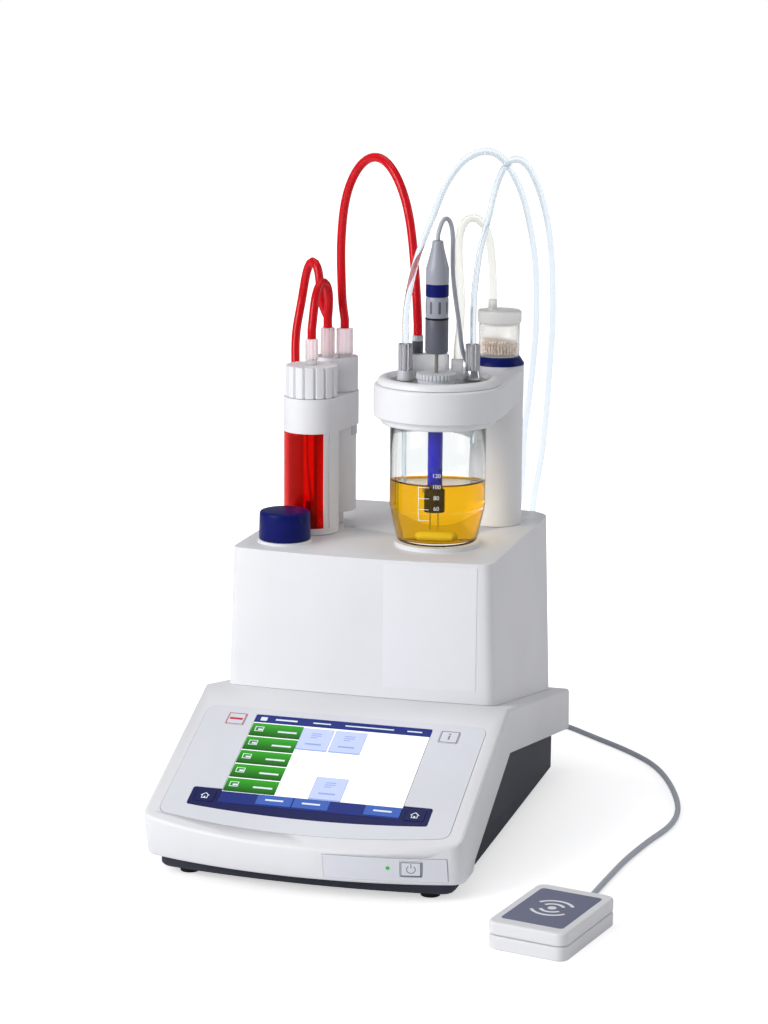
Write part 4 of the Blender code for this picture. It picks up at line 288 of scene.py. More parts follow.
def lit_green(name, low, high):
    """A screen key that fades from light at its upper edge to dark at its lower edge."""
    made, tree, shader = blank(name, "#2FA51F", 0.25, IOR=1.52, Specular_IOR_Level=0.2,
                               Emission_Strength=0.12)
    place = add(tree, "ShaderNodeTexCoord")
    parts = add(tree, "ShaderNodeSeparateXYZ", links={"Vector": place.outputs["Object"]})
    fade = add(tree, "ShaderNodeMapRange", {"From Min": low, "From Max": high}, {"Value": parts.outputs["Z"]})
    mix = add(tree, "ShaderNodeMixRGB", {"Color1": hexed("#0E4E0A"), "Color2": hexed("#33A823")},
              {"Fac": fade.outputs["Result"]})
    for socket in ("Base Color", "Emission Color"):
        tree.links.new(mix.outputs["Color"], shader.inputs[socket])
    return made


# Shapes, each a bmesh in millimetres

def tidy(shape):
    """Merge what meets and turn the faces outwards."""
    bmesh.ops.remove_doubles(shape, verts=shape.verts, dist=0.0005)
    bmesh.ops.recalc_face_normals(shape, faces=shape.faces)
    return shape


def lathe(profile, spot=(0, 0), sides=96):
    """Spin a profile of (radius, height) about a vertical axis."""
    shape = bmesh.new()
    points = [shape.verts.new((r, 0, z)) for r, z in profile]
    lines = [shape.edges.new(pair) for pair in zip(points, points[1:])]
    bmesh.ops.spin(shape, geom=points + lines, cent=(0, 0, 0), axis=(0, 0, 1), angle=2 * pi, steps=sides,
                   use_merge=True)
    bmesh.ops.translate(shape, verts=shape.verts, vec=(*spot, 0))
    return tidy(shape)


def ring_sector(inner, outer, low, high, start, end, spot, steps):
    """A curved wall: an upright rectangle swept about a vertical axis."""
    shape = bmesh.new()
    corners = [shape.verts.new((r * cos(start), r * sin(start), z))
               for r, z in ((inner, low), (outer, low), (outer, high), (inner, high))]
    face = shape.faces.new(corners)
    bmesh.ops.spin(shape, geom=[face] + face.edges[:] + corners, cent=(0, 0, 0), axis=(0, 0, 1),
                   angle=end - start, steps=steps)
    bmesh.ops.translate(shape, verts=shape.verts, vec=(*spot, 0))
    return tidy(shape)


def thickened(shape, way):
    """Give every face of a flat shape a thickness."""
    grown = bmesh.ops.extrude_face_region(shape, geom=shape.faces[:])
    carried_on = [part for part in grown["geom"] if isinstance(part, bmesh.types.BMVert)]
    bmesh.ops.translate(shape, verts=carried_on, vec=way)
    return tidy(shape)


def slab(width, depth, corner, low, high, spot=(0, 0), steps=6):
    """A rounded rectangle with a thickness."""
    shape = bmesh.new()
    bmesh.ops.create_grid(shape, x_segments=1, y_segments=1, size=0.5)
    bmesh.ops.scale(shape, verts=shape.verts, vec=(width, depth, 1))
    if corner:
        bmesh.ops.bevel(shape, geom=shape.verts[:], offset=corner, offset_type="OFFSET", segments=steps,
                        profile=0.5, affect="VERTICES", material=-1)
    bmesh.ops.translate(shape, verts=shape.verts, vec=(*spot, low))
    return thickened(shape, (0, 0, high - low))


def disc(radius, low, high, spot=(0, 0), sides=64):
    """A plain upright cylinder."""
    shape = bmesh.new()
    bmesh.ops.create_cone(shape, cap_ends=True, segments=sides, radius1=radius, radius2=radius,
                          depth=high - low)
    bmesh.ops.translate(shape, verts=shape.verts, vec=(*spot, (low + high) / 2))
    return shape


def fluted(radius, depth, count, low, high, spot=(0, 0), land=0.0, per=10, turn=0):
    """A round bar with rounded grooves; land above 0 widens the ribs and narrows the grooves."""
    shape = bmesh.new()
    bmesh.ops.create_circle(shape, cap_ends=True, segments=count * per, radius=radius)
    for vertex in shape.verts:
        wave = cos(count * (atan2(vertex.co.y, vertex.co.x) - turn))
        sunk = max(0, (-wave - land) / (1 - land))
        vertex.co.xy *= 1 - depth * min(1, sqrt(sunk)) / radius
    bmesh.ops.translate(shape, verts=shape.verts, vec=(*spot, low))
    return thickened(shape, (0, 0, high - low))


def arc_line(radius, width, start, end, low, high, steps):
    """A flat line bent to an arc."""
    return ring_sector(radius - width / 2, radius + width / 2, low, high, start, end, (0, 0), steps)


BELT_SIDES = 120


def belt(first, first_radius, second, second_radius, low, high):
    """A belt round two upright posts, filled."""
    shape = bmesh.new()
    for spot, radius in ((first, first_radius), (second, second_radius)):
        for step in range(BELT_SIDES):
            turn = step * 2 * pi / BELT_SIDES
            for height in (low, high):
                shape.verts.new((spot[0] + radius * cos(turn), spot[1] + radius * sin(turn), height))
    hull = bmesh.ops.convex_hull(shape, input=shape.verts)
    bmesh.ops.delete(shape, geom=[part for part in hull["geom_interior"]
                                  if isinstance(part, bmesh.types.BMVert)], context="VERTS")
    bmesh.ops.dissolve_limit(shape, angle_limit=radians(0.5), verts=shape.verts, edges=shape.edges)
    return tidy(shape)


def bored(shape, spot, radius, low, high, sides=64):
    """Drill a round hole through an upright shape with a flat top and underside."""
    caps = [face for face in tidy(shape).faces if abs(face.normal.z) > 0.9]
    bmesh.ops.delete(shape, geom=caps, context="FACES_ONLY")
    rims = []
    for height in (low, high):
        hole = bmesh.ops.create_circle(shape, segments=sides, radius=radius,
                                       matrix=Matrix.Translation((*spot, height)))["verts"]
        rims.append([edge for edge in shape.edges if edge.verts[0] in hole and edge.verts[1] in hole])
        outline = [edge for edge in shape.edges if len(edge.link_faces) == 1
                   and all(abs(vertex.co.z - height) < 0.01 for vertex in edge.verts)]
        bmesh.ops.triangle_fill(shape, use_beauty=True, edges=rims[-1] + outline)
    bmesh.ops.bridge_loops(shape, edges=rims[0] + rims[1])
    return tidy(shape)


def facing(place, way):
    """The move that puts a shape at a place with its upright axis turned a given way."""
    return Matrix.Translation(place) @ Vector(way).to_track_quat("Z", "Y").to_matrix().to_4x4()


def upright(spot, turn):
    """The move that puts a shape at a plan point, turned about its upright axis."""
    return Matrix.Translation((*spot, 0)) @ Matrix.Rotation(turn, 4, "Z")


def moved(shape, matrix):
    """The shape, moved as a whole."""
    bmesh.ops.transform(shape, matrix=matrix, verts=shape.verts)
    return shape


def bar(start, end, radius, sides=24):
    """A straight rod between two points."""
    way = Vector(end) - Vector(start)
    return moved(disc(radius, 0, way.length, sides=sides), facing(start, way))


def meshed(name, shape):
    """The mesh of a finished shape."""
    mesh = bpy.data.meshes.new(name)
    shape.to_mesh(mesh)
    shape.free()
    return mesh


def joined(*shapes):
    """Several shapes as one piece."""
    whole = bmesh.new()
    for shape in shapes:
        mesh = meshed("part", shape)
        whole.from_mesh(mesh)
        bpy.data.meshes.remove(mesh)
    return whole


# The moving nodes that pieces stand for
MOVING = ("burette_cap", "clamp_ring", "dosing_nut", "home_key_left", "home_key_right", "info_key",
          "knob_left", "knob_right", "parking_cap", "power_button", "reset_key", "sensor_nut", "stir_bar")


def dress(made, material, node, body=None, edge=0, segments=3, sharp=40):
    """Finish a piece. It rides its body, or the moving node that it stands for, or the instrument."""
    made.data.materials.clear()
    made.data.materials.append(material)
    made.data.shade_smooth()
    made.data.set_sharp_from_angle(angle=radians(sharp))
    if edge:
        rounding = made.modifiers.new("edge", "BEVEL")
        rounding.width = edge * MM
        rounding.segments = segments
        rounding.limit_method = "ANGLE"
        rounding.angle_limit = radians(sharp)
        rounding.harden_normals = True
    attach(made, body or (node if node in MOVING else "instrument"))
    if node:
        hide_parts(node)


def show(name, shape, material, node=None, **finish):
    """Put a shape in the scene: millimetres to metres, instrument frame to row frame."""
    moved(shape, Matrix.Translation(ORIGIN) @ Matrix.Scale(MM, 4))
    dress(linked(name, meshed(name, shape)), material, node, **finish)


def carried(node, material):
    """A smooth-shaded copy of a CAD node, for the curved faces that loose triangles can't shade."""
    shape = bmesh.new()
    shape.from_mesh(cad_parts[node].data)
    bmesh.ops.remove_doubles(shape, verts=shape.verts, dist=0.000002)
    bmesh.ops.dissolve_limit(shape, angle_limit=radians(0.3), verts=shape.verts, edges=shape.edges)
    name = node + "_smooth"
    dress(linked(name, meshed(name, shape)), material, node, sharp=30)


def repaint(node, material):
    """A CAD node whose shape is kept gets its finish."""
    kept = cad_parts[node].data
    kept.materials.clear()
    kept.materials.append(material)
    for face in kept.polygons:
        face.material_index = 0


# Cords and hoses: routes close to those of the solids, in millimetres, eased and made in metres

RED_TUBE = 0.0060
CLEAR_TUBE = 0.0044
DRYING_TUBE = 0.0054
SENSOR_CABLE = 0.0030
READER_CABLE = 0.0039
HOSE_GAP = 0.0003
COIL_TURNS = 3
COIL_INNER = 0.0190
COIL_SPACING = 0.0007
EASING_STEP = 0.0045
EASING = (0.5, -0.505)
EASING_ROUNDS = 30

TRANSFER_ROUTE = [
    (-54.5, 194.5, 335.0), (-54.4, 197.5, 345.0), (-54.1, 202.5, 353.8), (-53.0, 208.0, 359.1),
    (-51.5, 213.0, 359.1), (-50.6, 216.5, 353.2), (-50.7, 217.8, 344.0), (-51.1, 218.1, 335.0)]
DOSING_ROUTE = [
    (-43.7, 228.0, 340.0), (-44.6, 228.5, 355.2), (-45.2, 228.3, 374.5), (-44.3, 227.5, 393.9),
    (-41.3, 225.5, 413.3), (-35.3, 222.0, 428.5), (-26.5, 217.0, 439.7), (-16.4, 211.0, 444.3),
    (-6.8, 205.0, 441.5), (1.0, 200.0, 433.6), (7.8, 195.5, 422.0), (13.5, 191.0, 405.8),
    (17.1, 187.5, 387.6), (19.6, 184.5, 370.0), (21.6, 182.2, 352.0)]
DRYING_ROUTE = [
    (55.5, 257.2, 358.0), (55.6, 253.0, 370.0), (55.8, 247.0, 382.0), (55.0, 240.0, 393.2),
    (52.1, 232.0, 401.6), (47.9, 225.0, 405.2), (44.1, 217.0, 401.0), (43.1, 210.0, 391.8),
    (44.5, 204.0, 379.7), (46.8, 199.0, 365.8), (48.5, 196.0, 350.9), (48.8, 193.5, 335.7),
    (48.0, 191.5, 325.0)]
BOTTLE_ROUTE = [
    (-59.4, 229.6, 340.0), (-60.2, 229.8, 349.5), (-62.0, 231.0, 362.0), (-64.8, 233.5, 368.9),
    (-68.2, 236.5, 370.8), (-71.6, 239.5, 367.5), (-74.4, 241.5, 358.4), (-76.8, 242.0, 347.5),
    (-78.7, 241.0, 333.7), (-79.9, 237.0, 323.0), (-78.8, 231.0, 306.0), (-76.0, 224.0, 285.0),
    (-73.8, 220.5, 260.0), (-72.5, 222.0, 238.0), (-72.2, 231.0, 218.0), (-72.6, 252.0, 198.5),
    (-73.8, 280.0, 193.0), (-75.2, 300.0, 194.5), (-76.0, 311.0, 192.5), (-76.8, 317.5, 182.0),
    (-78.0, 320.5, 150.0), (-80.0, 323.5, 90.0), (-88.0, 327.0, 45.0), (-100.0, 330.0, 18.0),
    (-108.5, 336.5, 6.5)]
SENSOR_ROUTE = [
    (42.2, 161.0, 404.5), (45.2, 165.0, 411.6), (48.4, 169.0, 404.0), (47.8, 176.0, 372.5),
    (48.7, 182.0, 351.5), (51.2, 184.0, 333.0), (53.2, 184.5, 317.5), (55.0, 193.0, 309.8),
    (55.5, 204.0, 307.0), (54.0, 214.0, 306.0), (51.0, 224.0, 303.0), (46.0, 236.0, 301.2),
    (40.5, 248.0, 301.2), (37.8, 258.0, 301.2), (36.2, 266.5, 298.5), (37.2, 273.5, 291.5),
    (42.0, 278.0, 281.5), (48.0, 281.5, 268.0), (54.0, 282.5, 250.0), (58.0, 283.0, 225.0),
    (60.5, 285.0, 205.0), (62.0, 294.0, 193.5), (62.8, 302.5, 192.8), (63.4, 310.0, 190.2),
    (63.4, 313.2, 181.5), (62.2, 314.0, 160.0), (57.0, 317.0, 120.0), (49.0, 325.0, 85.0),
    (42.0, 333.0, 62.0), (40.0, 336.0, 51.0), (39.8, 330.0, 45.2)]
SOLVENT_ROUTE = [
    (17.5, 170.0, 344.8), (21.0, 174.0, 371.5), (26.5, 179.0, 393.1), (33.0, 185.0, 411.5),
    (36.5, 192.0, 425.9), (47.3, 203.0, 444.2), (56.2, 211.0, 448.7), (61.6, 216.0, 450.1),
    (68.9, 224.0, 444.1), (78.1, 236.0, 424.1), (82.5, 248.0, 398.8), (84.6, 260.0, 368.8),
    (82.8, 273.0, 329.2), (81.5, 277.0, 317.5), (76.3, 288.0, 282.0), (70.3, 297.0, 246.1),
    (68.0, 306.0, 225.0), (64.0, 315.0, 200.0), (58.0, 323.5, 165.0), (48.0, 331.0, 120.0),
    (37.0, 336.5, 75.0), (30.0, 337.5, 40.0), (23.0, 337.8, 17.0), (16.0, 337.7, 5.5)]
WASTE_ROUTE = [
    (59.7, 187.0, 358.3), (62.1, 195.0, 390.1), (64.9, 199.0, 402.6), (68.4, 207.0, 426.1),
    (73.4, 216.0, 441.6), (79.7, 224.0, 444.8), (86.7, 234.0, 434.3), (92.8, 246.0, 411.6),
    (95.5, 260.0, 377.5), (93.6, 277.0, 329.2), (90.7, 285.0, 305.6), (86.7, 296.0, 270.0),
    (82.0, 305.0, 234.3), (77.1, 311.0, 209.7), (73.4, 316.0, 188.8), (70.0, 325.0, 150.0),
    (62.5, 337.0, 100.0), (53.0, 348.0, 55.0), (47.0, 362.0, 22.0), (45.0, 380.0, 6.5), (44.0, 400.0, 3.0),
    (41.0, 420.0, 2.6)]
READER_ROUTE = [
    (74.0, 320.0, 44.0), (72.5, 335.0, 40.0), (67.0, 355.0, 23.0), (62.0, 375.0, 9.0), (61.0, 392.0, 3.5),
    (66.0, 404.0, 2.4), (75.5, 407.5, 2.3), (86.3, 402.0, 2.3), (97.0, 393.0, 2.3), (109.0, 382.2, 2.3),
    (139.1, 354.9, 2.3), (162.9, 326.9, 2.3), (180.1, 293.2, 2.3), (194.4, 250.9, 2.3), (201.0, 216.9, 2.3),
    (200.5, 186.2, 2.3), (192.8, 150.2, 2.3), (186.1, 111.6, 2.3), (182.9, 83.1, 2.3), (179.9, 51.8, 2.3),
    (178.2, 25.0, 3.0)]


def metres(spot):
    """A place that is given in millimetres, in metres."""
    return tuple(value * MM for value in spot)


def smooth_route(points, spacing):
    """Even points on a smooth curve through the given ones, whose first and last runs are straight."""
    fine = []
    for i in range(1, len(points) - 2):
        p0, p1, p2, p3 = points[i - 1:i + 3]
        parts = max(2, int((p2 - p1).length / spacing) * 4)
        for k in range(parts):
            t = k / parts
            fine.append(0.5 * ((2 * p1) + (p2 - p0) * t
                               + (2 * p0 - 5 * p1 + 4 * p2 - p3) * t * t
                               + (3 * p1 - p0 - 3 * p2 + p3) * t ** 3))
    fine.append(points[-2])
    total = sum((b - a).length for a, b in zip(fine, fine[1:]))
    count = max(2, round(total / spacing))
    even = [fine[0]]
    walked = 0
    goal = total / count
    for a, b in zip(fine, fine[1:]):
        step = (b - a).length
        while walked + step >= goal and len(even) < count:
            even.append(a.lerp(b, (goal - walked) / step))
            goal += total / count
        walked += step
    return [points[0]] + even + [points[-2], points[-1]]


def led(spot, way, diameter):
    """A hose's end at a fitting's face, and the point where it may start to bend."""
    face = Vector(spot) + Vector(way) * HOSE_GAP
    return [face, face + Vector(way) * diameter]


def coil_points(centre, diameter, start, way, per_turn=48):
    """A flat spiral from its outer end inwards, led in by one diameter of straight tube."""
    spacing = diameter + COIL_SPACING
    count = COIL_TURNS * per_turn
    points = []
    for i in range(count + 1):
        angle = start + way * 2 * pi * i / per_turn
        reach = COIL_INNER + spacing * COIL_TURNS * (1 - i / count)
        points.append(Vector((centre[0] + reach * cos(angle), centre[1] + reach * sin(angle),
                              diameter / 2 + HOSE_GAP)))
    lead = Vector((way * sin(start), -way * cos(start), 0))
    return [points[0] + lead * diameter] + points, lead


def hose(name, points, diameter, material, *nodes):
    """A round hose along points in the instrument's frame, in metres."""
    curve = bpy.data.curves.new(name, "CURVE")
    curve.dimensions = "3D"
    curve.bevel_depth = diameter / 2
    curve.bevel_resolution = 6
    curve.use_fill_caps = True
    spline = curve.splines.new("POLY")
    spline.points.add(len(points) - 1)
    for point, place in zip(spline.points, points):
        point.co = (*(place + ORIGIN), 1)
        point.radius = 1
    spline.use_smooth = True
    curve.materials.append(material)
    made = linked(name, curve)
    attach(made, "instrument")
    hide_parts(*nodes)
    return made


def routed(start, route, end, diameter):
    """A route between two led ends, evened out so that the hose bends as one smooth curve."""
    points = smooth_route(start + [Vector(metres(place)) for place in route] + end[::-1], EASING_STEP)
    for pull in EASING * EASING_ROUNDS:
        points = points[:2] + [here + ((before + after) / 2 - here) * pull for before, here, after in zip(
            points[1:], points[2:-2], points[3:])] + points[-2:]
    return smooth_route(points, diameter * 0.6)


UP = (0, 0, 1)
BACK = (0, 1, 0)
SENSOR_SOCKET = (40.0, 312.88, 44.0)
READER_SOCKET = (74.0, 312.88, 44.0)
READER_SIZE = (51.5, 77.0, 6.5)

for name, start, route, diameter, finish, centre, angle, way, nodes in (
        ("bottle_hose", (*SUCTION_PORT, 325.5), BOTTLE_ROUTE, RED_TUBE, red_tubing,
         (-75.0, 365.0), pi, -1, ("tube_bottle", "bottle_coil")),
        ("solvent_hose", (*KNOB_LEFT, 325.2), SOLVENT_ROUTE, CLEAR_TUBE, clear_tubing,
         (3.5, 372.0), -pi / 2, -1, ("solvent_tube", "solvent_coil")),
        ("waste_hose", (*KNOB_RIGHT, 325.2), WASTE_ROUTE, CLEAR_TUBE, clear_tubing,
         (3.5, 447.0), 0, 1, ("waste_tube", "waste_coil"))):
    winding, lead = coil_points(metres(centre), diameter, angle, way)
    path = routed(led(metres(start), UP, diameter), route, led(winding[0], lead, diameter), diameter)
    path = path[:-1] + winding
    hose(name, path, diameter, finish, *nodes)

tail = Vector((-sin(READER_TURN), cos(READER_TURN), 0))
gland = Vector(metres((*READER, 5.0))) + tail * (READER_SIZE[1] * MM) / 2
for name, start, start_way, route, end, end_way, diameter, node in (
        ("sensor_lead", metres((*SENSOR, 395.1)), UP, SENSOR_ROUTE, metres(SENSOR_SOCKET), BACK,
         SENSOR_CABLE, "sensor_cable"),
        ("reader_lead", metres(READER_SOCKET), BACK, READER_ROUTE, gland, tail,
         READER_CABLE, "reader_cable")):
    path = routed(led(start, start_way, diameter), route, led(end, end_way, diameter), diameter)
    hose(name, path, diameter, cable_pvc, node)

for name, start, route, end, diameter, finish, node in (
        ("transfer_hose", (*BURETTE, 321.5), TRANSFER_ROUTE, (*TRANSFER_PORT, 326.2), RED_TUBE, red_tubing,
         "tube_transfer"),
        ("dosing_hose", (*DOSING_PORT, 325.2), DOSING_ROUTE, (*DOSING_NUT, 329.2), RED_TUBE, red_tubing,
         "tube_dosing"),
        ("drying_tube_hose", (*SPOUT, 345.5), DRYING_ROUTE, (*VENT, 313.0), DRYING_TUBE, silicone,
         "drying_hose")):
    path = routed(led(metres(start), UP, diameter), route, led(metres(end), UP, diameter), diameter)
    hose(name, path, diameter, finish, node)

# Housings

for node, finish in (("upper_shell", white_abs), ("lower_housing", tray_pc), ("tower_housing", white_abs),
                     ("front_bezel", bezel_film), ("key_band", navy_panel), ("power_panel", bezel_film)):
    carried(node, finish)
for node, finish in (("rear_panel", slate_pc), ("main_board", board_green), ("touch_screen", screen_glass),
                     ("foot_front_left", foot_rubber), ("foot_front_right", foot_rubber),
                     ("foot_rear_left", foot_rubber), ("foot_rear_right", foot_rubber),
                     ("stirrer_motor", motor_black), ("stirrer_rotor", motor_black),
                     ("burette_motor", motor_black), ("burette_piston", motor_black),
                     ("valve_rotor", pale_pc)):
    repaint(node, finish)
screen_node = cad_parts["touch_screen"].data
screen_node.materials.append(glass_edge)
for face in screen_node.polygons:
    face.material_index = int(face.normal.dot(Vector((0, -sin(SLOPE), cos(SLOPE)))) < 0.99)

# Front panel: what the screen and keys show, laid on the slope

PANEL_FOOT = (0, -7.0, 41.0)
SCREEN_FACE = 0.2
KEY_FACE = 0.5
on_slope = Matrix.Translation(PANEL_FOOT) @ Matrix.Rotation(SLOPE, 4, "X")


def laid(name, shape, material, body=None):
    """Lay a flat shape on the sloping panel: x across it and y up it from its foot."""
    show(name, moved(shape, on_slope), material, body=body, sharp=30)


def tile(x, t, width, height, lift, corner):
    """A flat field of the display."""
    return slab(width, height, corner, SCREEN_FACE, SCREEN_FACE + lift, (x, t), 4)


def strokes(x, t, lengths, pitch=2.2, height=0.8, lift=0.1):
    """Generic lines of unreadable text."""
    return [slab(length, height, 0, SCREEN_FACE, SCREEN_FACE + lift, (x + length / 2, t - pitch * i))
            for i, length in enumerate(lengths)]


def rod(x, t, width, height, turn=0, base=KEY_FACE):
    """One stroke of a sign, turned in the face."""
    return moved(slab(width, height, 0, base, base + 0.04), upright((x, t), radians(turn)))


def frame_strokes(x, t, width, height, line, base=KEY_FACE):
    """The outline of a rectangle."""
    return [rod(x, t + side * (height - line) / 2, width, line, base=base) for side in (-1, 1)] + [
        rod(x + side * (width - line) / 2, t, line, height - 2 * line, base=base) for side in (-1, 1)]


def house(x, t):
    """A plain house with an open roof line and a door."""
    roof = [rod(x + side * 1.35, t + 1.35, 3.9, 0.6, -side * 42) for side in (-1, 1)]
    walls = [rod(x + side * 1.8, t - 0.9, 0.5, 2.6) for side in (-1, 1)]
    return roof + walls + [rod(x, t - 2.3, 4.1, 0.5), rod(x, t - 1.4, 1.1, 1.5)]


KEY_LOW = 29.5
KEY_PITCH = 13.95
KEY_ROWS = [KEY_LOW + KEY_PITCH * (row + 0.5) for row in range(5)]
KEY_HEIGHT = 13.0
TILES = ((-14.3, 87.0), (8.2, 87.0), (8.2, 40.6))
SOFT_KEYS = (-23.4, 1.0, 48.0)
laid("screen_title_bar", tile(0, 103.6, 120.0, 7.8, 0.04, 0), title_navy)
laid("screen_title_marks", joined(tile(-54, 103.4, 4.4, 3.6, 0.10, 0.4), *[
    stroke for x, length, height in ((-46, 15, 1.5), (-20, 12, 1.1), (2, 33, 1.1), (44, 10, 1.1))
    for stroke in strokes(x, 103.6, [length], height=height)]), glyph_white)
for row, t in enumerate(KEY_ROWS):
    foot_z, top_z = [(PANEL_FOOT[2] + (t + side * KEY_HEIGHT / 2) * sin(SLOPE)) * MM for side in (-1, 1)]
    laid("screen_key_%d" % row, tile(-42.4, t, 34.8, KEY_HEIGHT, 0.06, 0.5),
         lit_green("lit_key_green_%d" % row, foot_z, top_z))
laid("screen_key_marks", joined(*[mark for t in KEY_ROWS for mark in (
    *strokes(-41, t - 0.6, [13], height=1.6, lift=0.12),
    *frame_strokes(-54.2, t + 0.8, 6.0, 4.8, 0.6, SCREEN_FACE + 0.06),
    tile(-53.4, t + 0.3, 3.0, 1.6, 0.12, 0.3))]), glyph_white)
laid("screen_tile_edges", joined(*[tile(x, t, 21.4, 22.0, 0.03, 0.5) for x, t in TILES]), tile_edge)
laid("screen_tiles", joined(*[tile(x, t + 0.5, 20.8, 20.8, 0.06, 0.5) for x, t in TILES]), tile_blue)
laid("screen_tile_marks", joined(*[mark for x, t in TILES for mark in (
    *strokes(x - 3.5, t + 6.0, [7, 7, 4.5], 2.0), *strokes(x - 5.5, t - 4.6, [11], height=1.5))]), tile_edge)
laid("screen_foot_bar", tile(0, 24.1, 120.0, 10.8, 0.04, 0), title_navy)
laid("screen_soft_keys", joined(*[tile(x, 24.9, 23.4, 8.8, 0.08, 0.5) for x in SOFT_KEYS]), soft_blue)
laid("screen_soft_marks", joined(*[stroke for x in SOFT_KEYS for stroke in strokes(
    x - 6, 25.0, [12], height=1.5, lift=0.14)]), glyph_white)

for name, x, ink, sign in (("reset_key", -72.7, glyph_red, ((101.2, 9.0, 2.0),)),
                           ("info_key", 72.7, glyph_grey, ((100.6, 1.1, 4.2), (104.0, 1.3, 1.2)))):
    show(name + "_cap", moved(slab(12.6, 11.7, 1.2, KEY_FACE - 1.1, KEY_FACE, (x, 101.2)), on_slope),
         bezel_film, name, edge=0.15)
    laid(name + "_print", joined(*frame_strokes(x, 101.2, 12.0, 11.2, 0.6),
                                 *[rod(x, t, width, height) for t, width, height in sign]), ink, name)
for name, x in (("home_key_left", -69.4), ("home_key_right", 69.4)):
    show(name + "_cap", moved(slab(13.0, 10.0, 1.2, KEY_FACE - 1.1, KEY_FACE, (x, 23.6)), on_slope),
         navy_panel, name, edge=0.15)
    laid(name + "_sign", joined(*house(x, 23.6)), glyph_white, name)

# Power button in the bowed front strip, with the standby sign

BUTTON_OUT = Vector((0.2045, -0.9498, -0.2366)).normalized()
BUTTON_REACH = 1.5
button_low, button_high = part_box("power_button")
button_middle = (Vector(button_low) + Vector(button_high)) / 2
in_button = facing((button_middle - ORIGIN) / MM + BUTTON_OUT * BUTTON_REACH, BUTTON_OUT)
show("power_button_cap", moved(slab(13.8, 11.2, 1.2, -3.0, 0), in_button), bezel_film, "power_button",
     edge=0.25)
standby = [arc_line(2.7, 0.55, radians(125), radians(415), 0, 0.05, steps=32),
           slab(0.55, 3.1, 0, 0, 0.05, (0, 2.4))]
surround = frame_strokes(0, 0, 13.0, 10.4, 0.6, 0) + [rod(0, -4.85, 13.0, 0.9, base=0),
                                                      rod(6.15, 0, 0.9, 10.4, base=0)]
show("power_button_sign", moved(joined(*standby, *surround), in_button), glyph_grey, body="power_button")

# Tower: the bare plate, bent to the bow of its front

PLATE_LEFT = 18.2
PLATE_RIGHT = 80.1
PLATE_LOW = 103.0
PLATE_HIGH = 186.0
TOWER_FRONT = 126.0
TOWER_HALF = 89.5
TOWER_BOW = 7.8
TOWER_TOP = 188.8
TOWER_DRAFT = 0.036
PLATE_PROUD = 0.25
PLATE_THICKNESS = 0.35
tower_radius = (TOWER_HALF ** 2 + TOWER_BOW ** 2) / (2 * TOWER_BOW)
plate = bmesh.new()
bmesh.ops.create_grid(plate, x_segments=24, y_segments=1, size=0.5)
for vertex in plate.verts:
    x = PLATE_LEFT + (vertex.co.x + 0.5) * (PLATE_RIGHT - PLATE_LEFT)
    z = PLATE_LOW + (vertex.co.y + 0.5) * (PLATE_HIGH - PLATE_LOW)
    drafted = x / (1 + TOWER_DRAFT * (TOWER_TOP - z) / TOWER_HALF)
    forward = sqrt(tower_radius ** 2 - drafted ** 2) - sqrt(tower_radius ** 2 - TOWER_HALF ** 2)
    vertex.co = (x, TOWER_FRONT - forward - PLATE_PROUD, z)
show("tower_plate", thickened(plate, (0, PLATE_THICKNESS, 0)), label_grey, sharp=30)

# Vessel place

show("stand_arm", belt(VESSEL, 43.5, COLUMN, 17.5, 276.5, 298.5), white_abs, "titration_stand", edge=1.8,
     segments=5)
show("stand_column", disc(17.3, 189.1, 277.0, COLUMN, 96), white_abs, "titration_stand")
show("stand_top", lathe([(0, 300.9), (17.1, 300.9), (17.5, 300.5), (17.5, 297.5), (0, 297.5)], COLUMN),
     white_abs, "titration_stand")
show("vessel_clamp", lathe([(35.5, 276.2), (37.9, 276.2), (38.4, 275.9), (38.5, 275.4), (38.5, 273.4),
                            (38.2, 272.7), (37.4, 271.9), (36.8, 271.8), (32.5, 271.8), (32.5, 273.7),
                            (35.5, 273.7), (35.5, 276.2)], VESSEL), white_abs, "clamp_ring")
show("vessel_glass", lathe([
    (30.4, 276.2), (34.8, 276.2), (35.2, 275.8), (35.2, 274.4), (34.8, 274.0), (32.6, 274.0), (32.2, 273.5),
    (32.2, 217.5), (32.0, 215.2), (31.5, 213.0), (27.4, 194.4), (26.6, 192.8), (25.2, 192.1), (0, 192.1),
    (0, 194.7), (24.4, 194.7), (25.2, 195.2), (25.8, 196.4), (29.9, 213.8), (30.3, 215.8), (30.4, 217.5),
    (30.4, 276.2)], VESSEL, 128), borosilicate, "glass_vessel", sharp=50)
show("vessel_liquid", lathe([
    (0, LIQUID_Z), (27.0, LIQUID_Z), (29.4, LIQUID_Z + 0.3), (30.2, LIQUID_Z + 1.0), (30.5, LIQUID_Z + 1.6),
    (30.5, 217.5), (30.0, 213.8), (25.9, 196.4), (25.2, 195.1), (24.4, 194.6), (0, 194.6)], VESSEL, 128),
    amber_liquid, sharp=50)

BAR_RADIUS = 3.0
bar_low, bar_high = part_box("stir_bar")
bar_middle = ((Vector(bar_low) + Vector(bar_high)) / 2 - ORIGIN) / MM
bar_half = (bar_high[0] - bar_low[0]) / MM / 2
bar_end = [(BAR_RADIUS * cos(radians(10 * i)), bar_half - BAR_RADIUS + BAR_RADIUS * sin(radians(10 * i)))
           for i in range(9)]
capsule = lathe([(0, bar_half)] + bar_end[::-1] + [(r, -z) for r, z in bar_end] + [(0, -bar_half)], sides=32)
show("stir_bar_capsule", moved(capsule, Matrix.Translation(bar_middle) @ Matrix.Rotation(pi / 2, 4, "Y")),
     bar_ptfe, "stir_bar")

VESSEL_RADIUS = 32.2
TAPER_Z = 214.5
TAPER = 0.241
PRINT_LIFT = 0.04


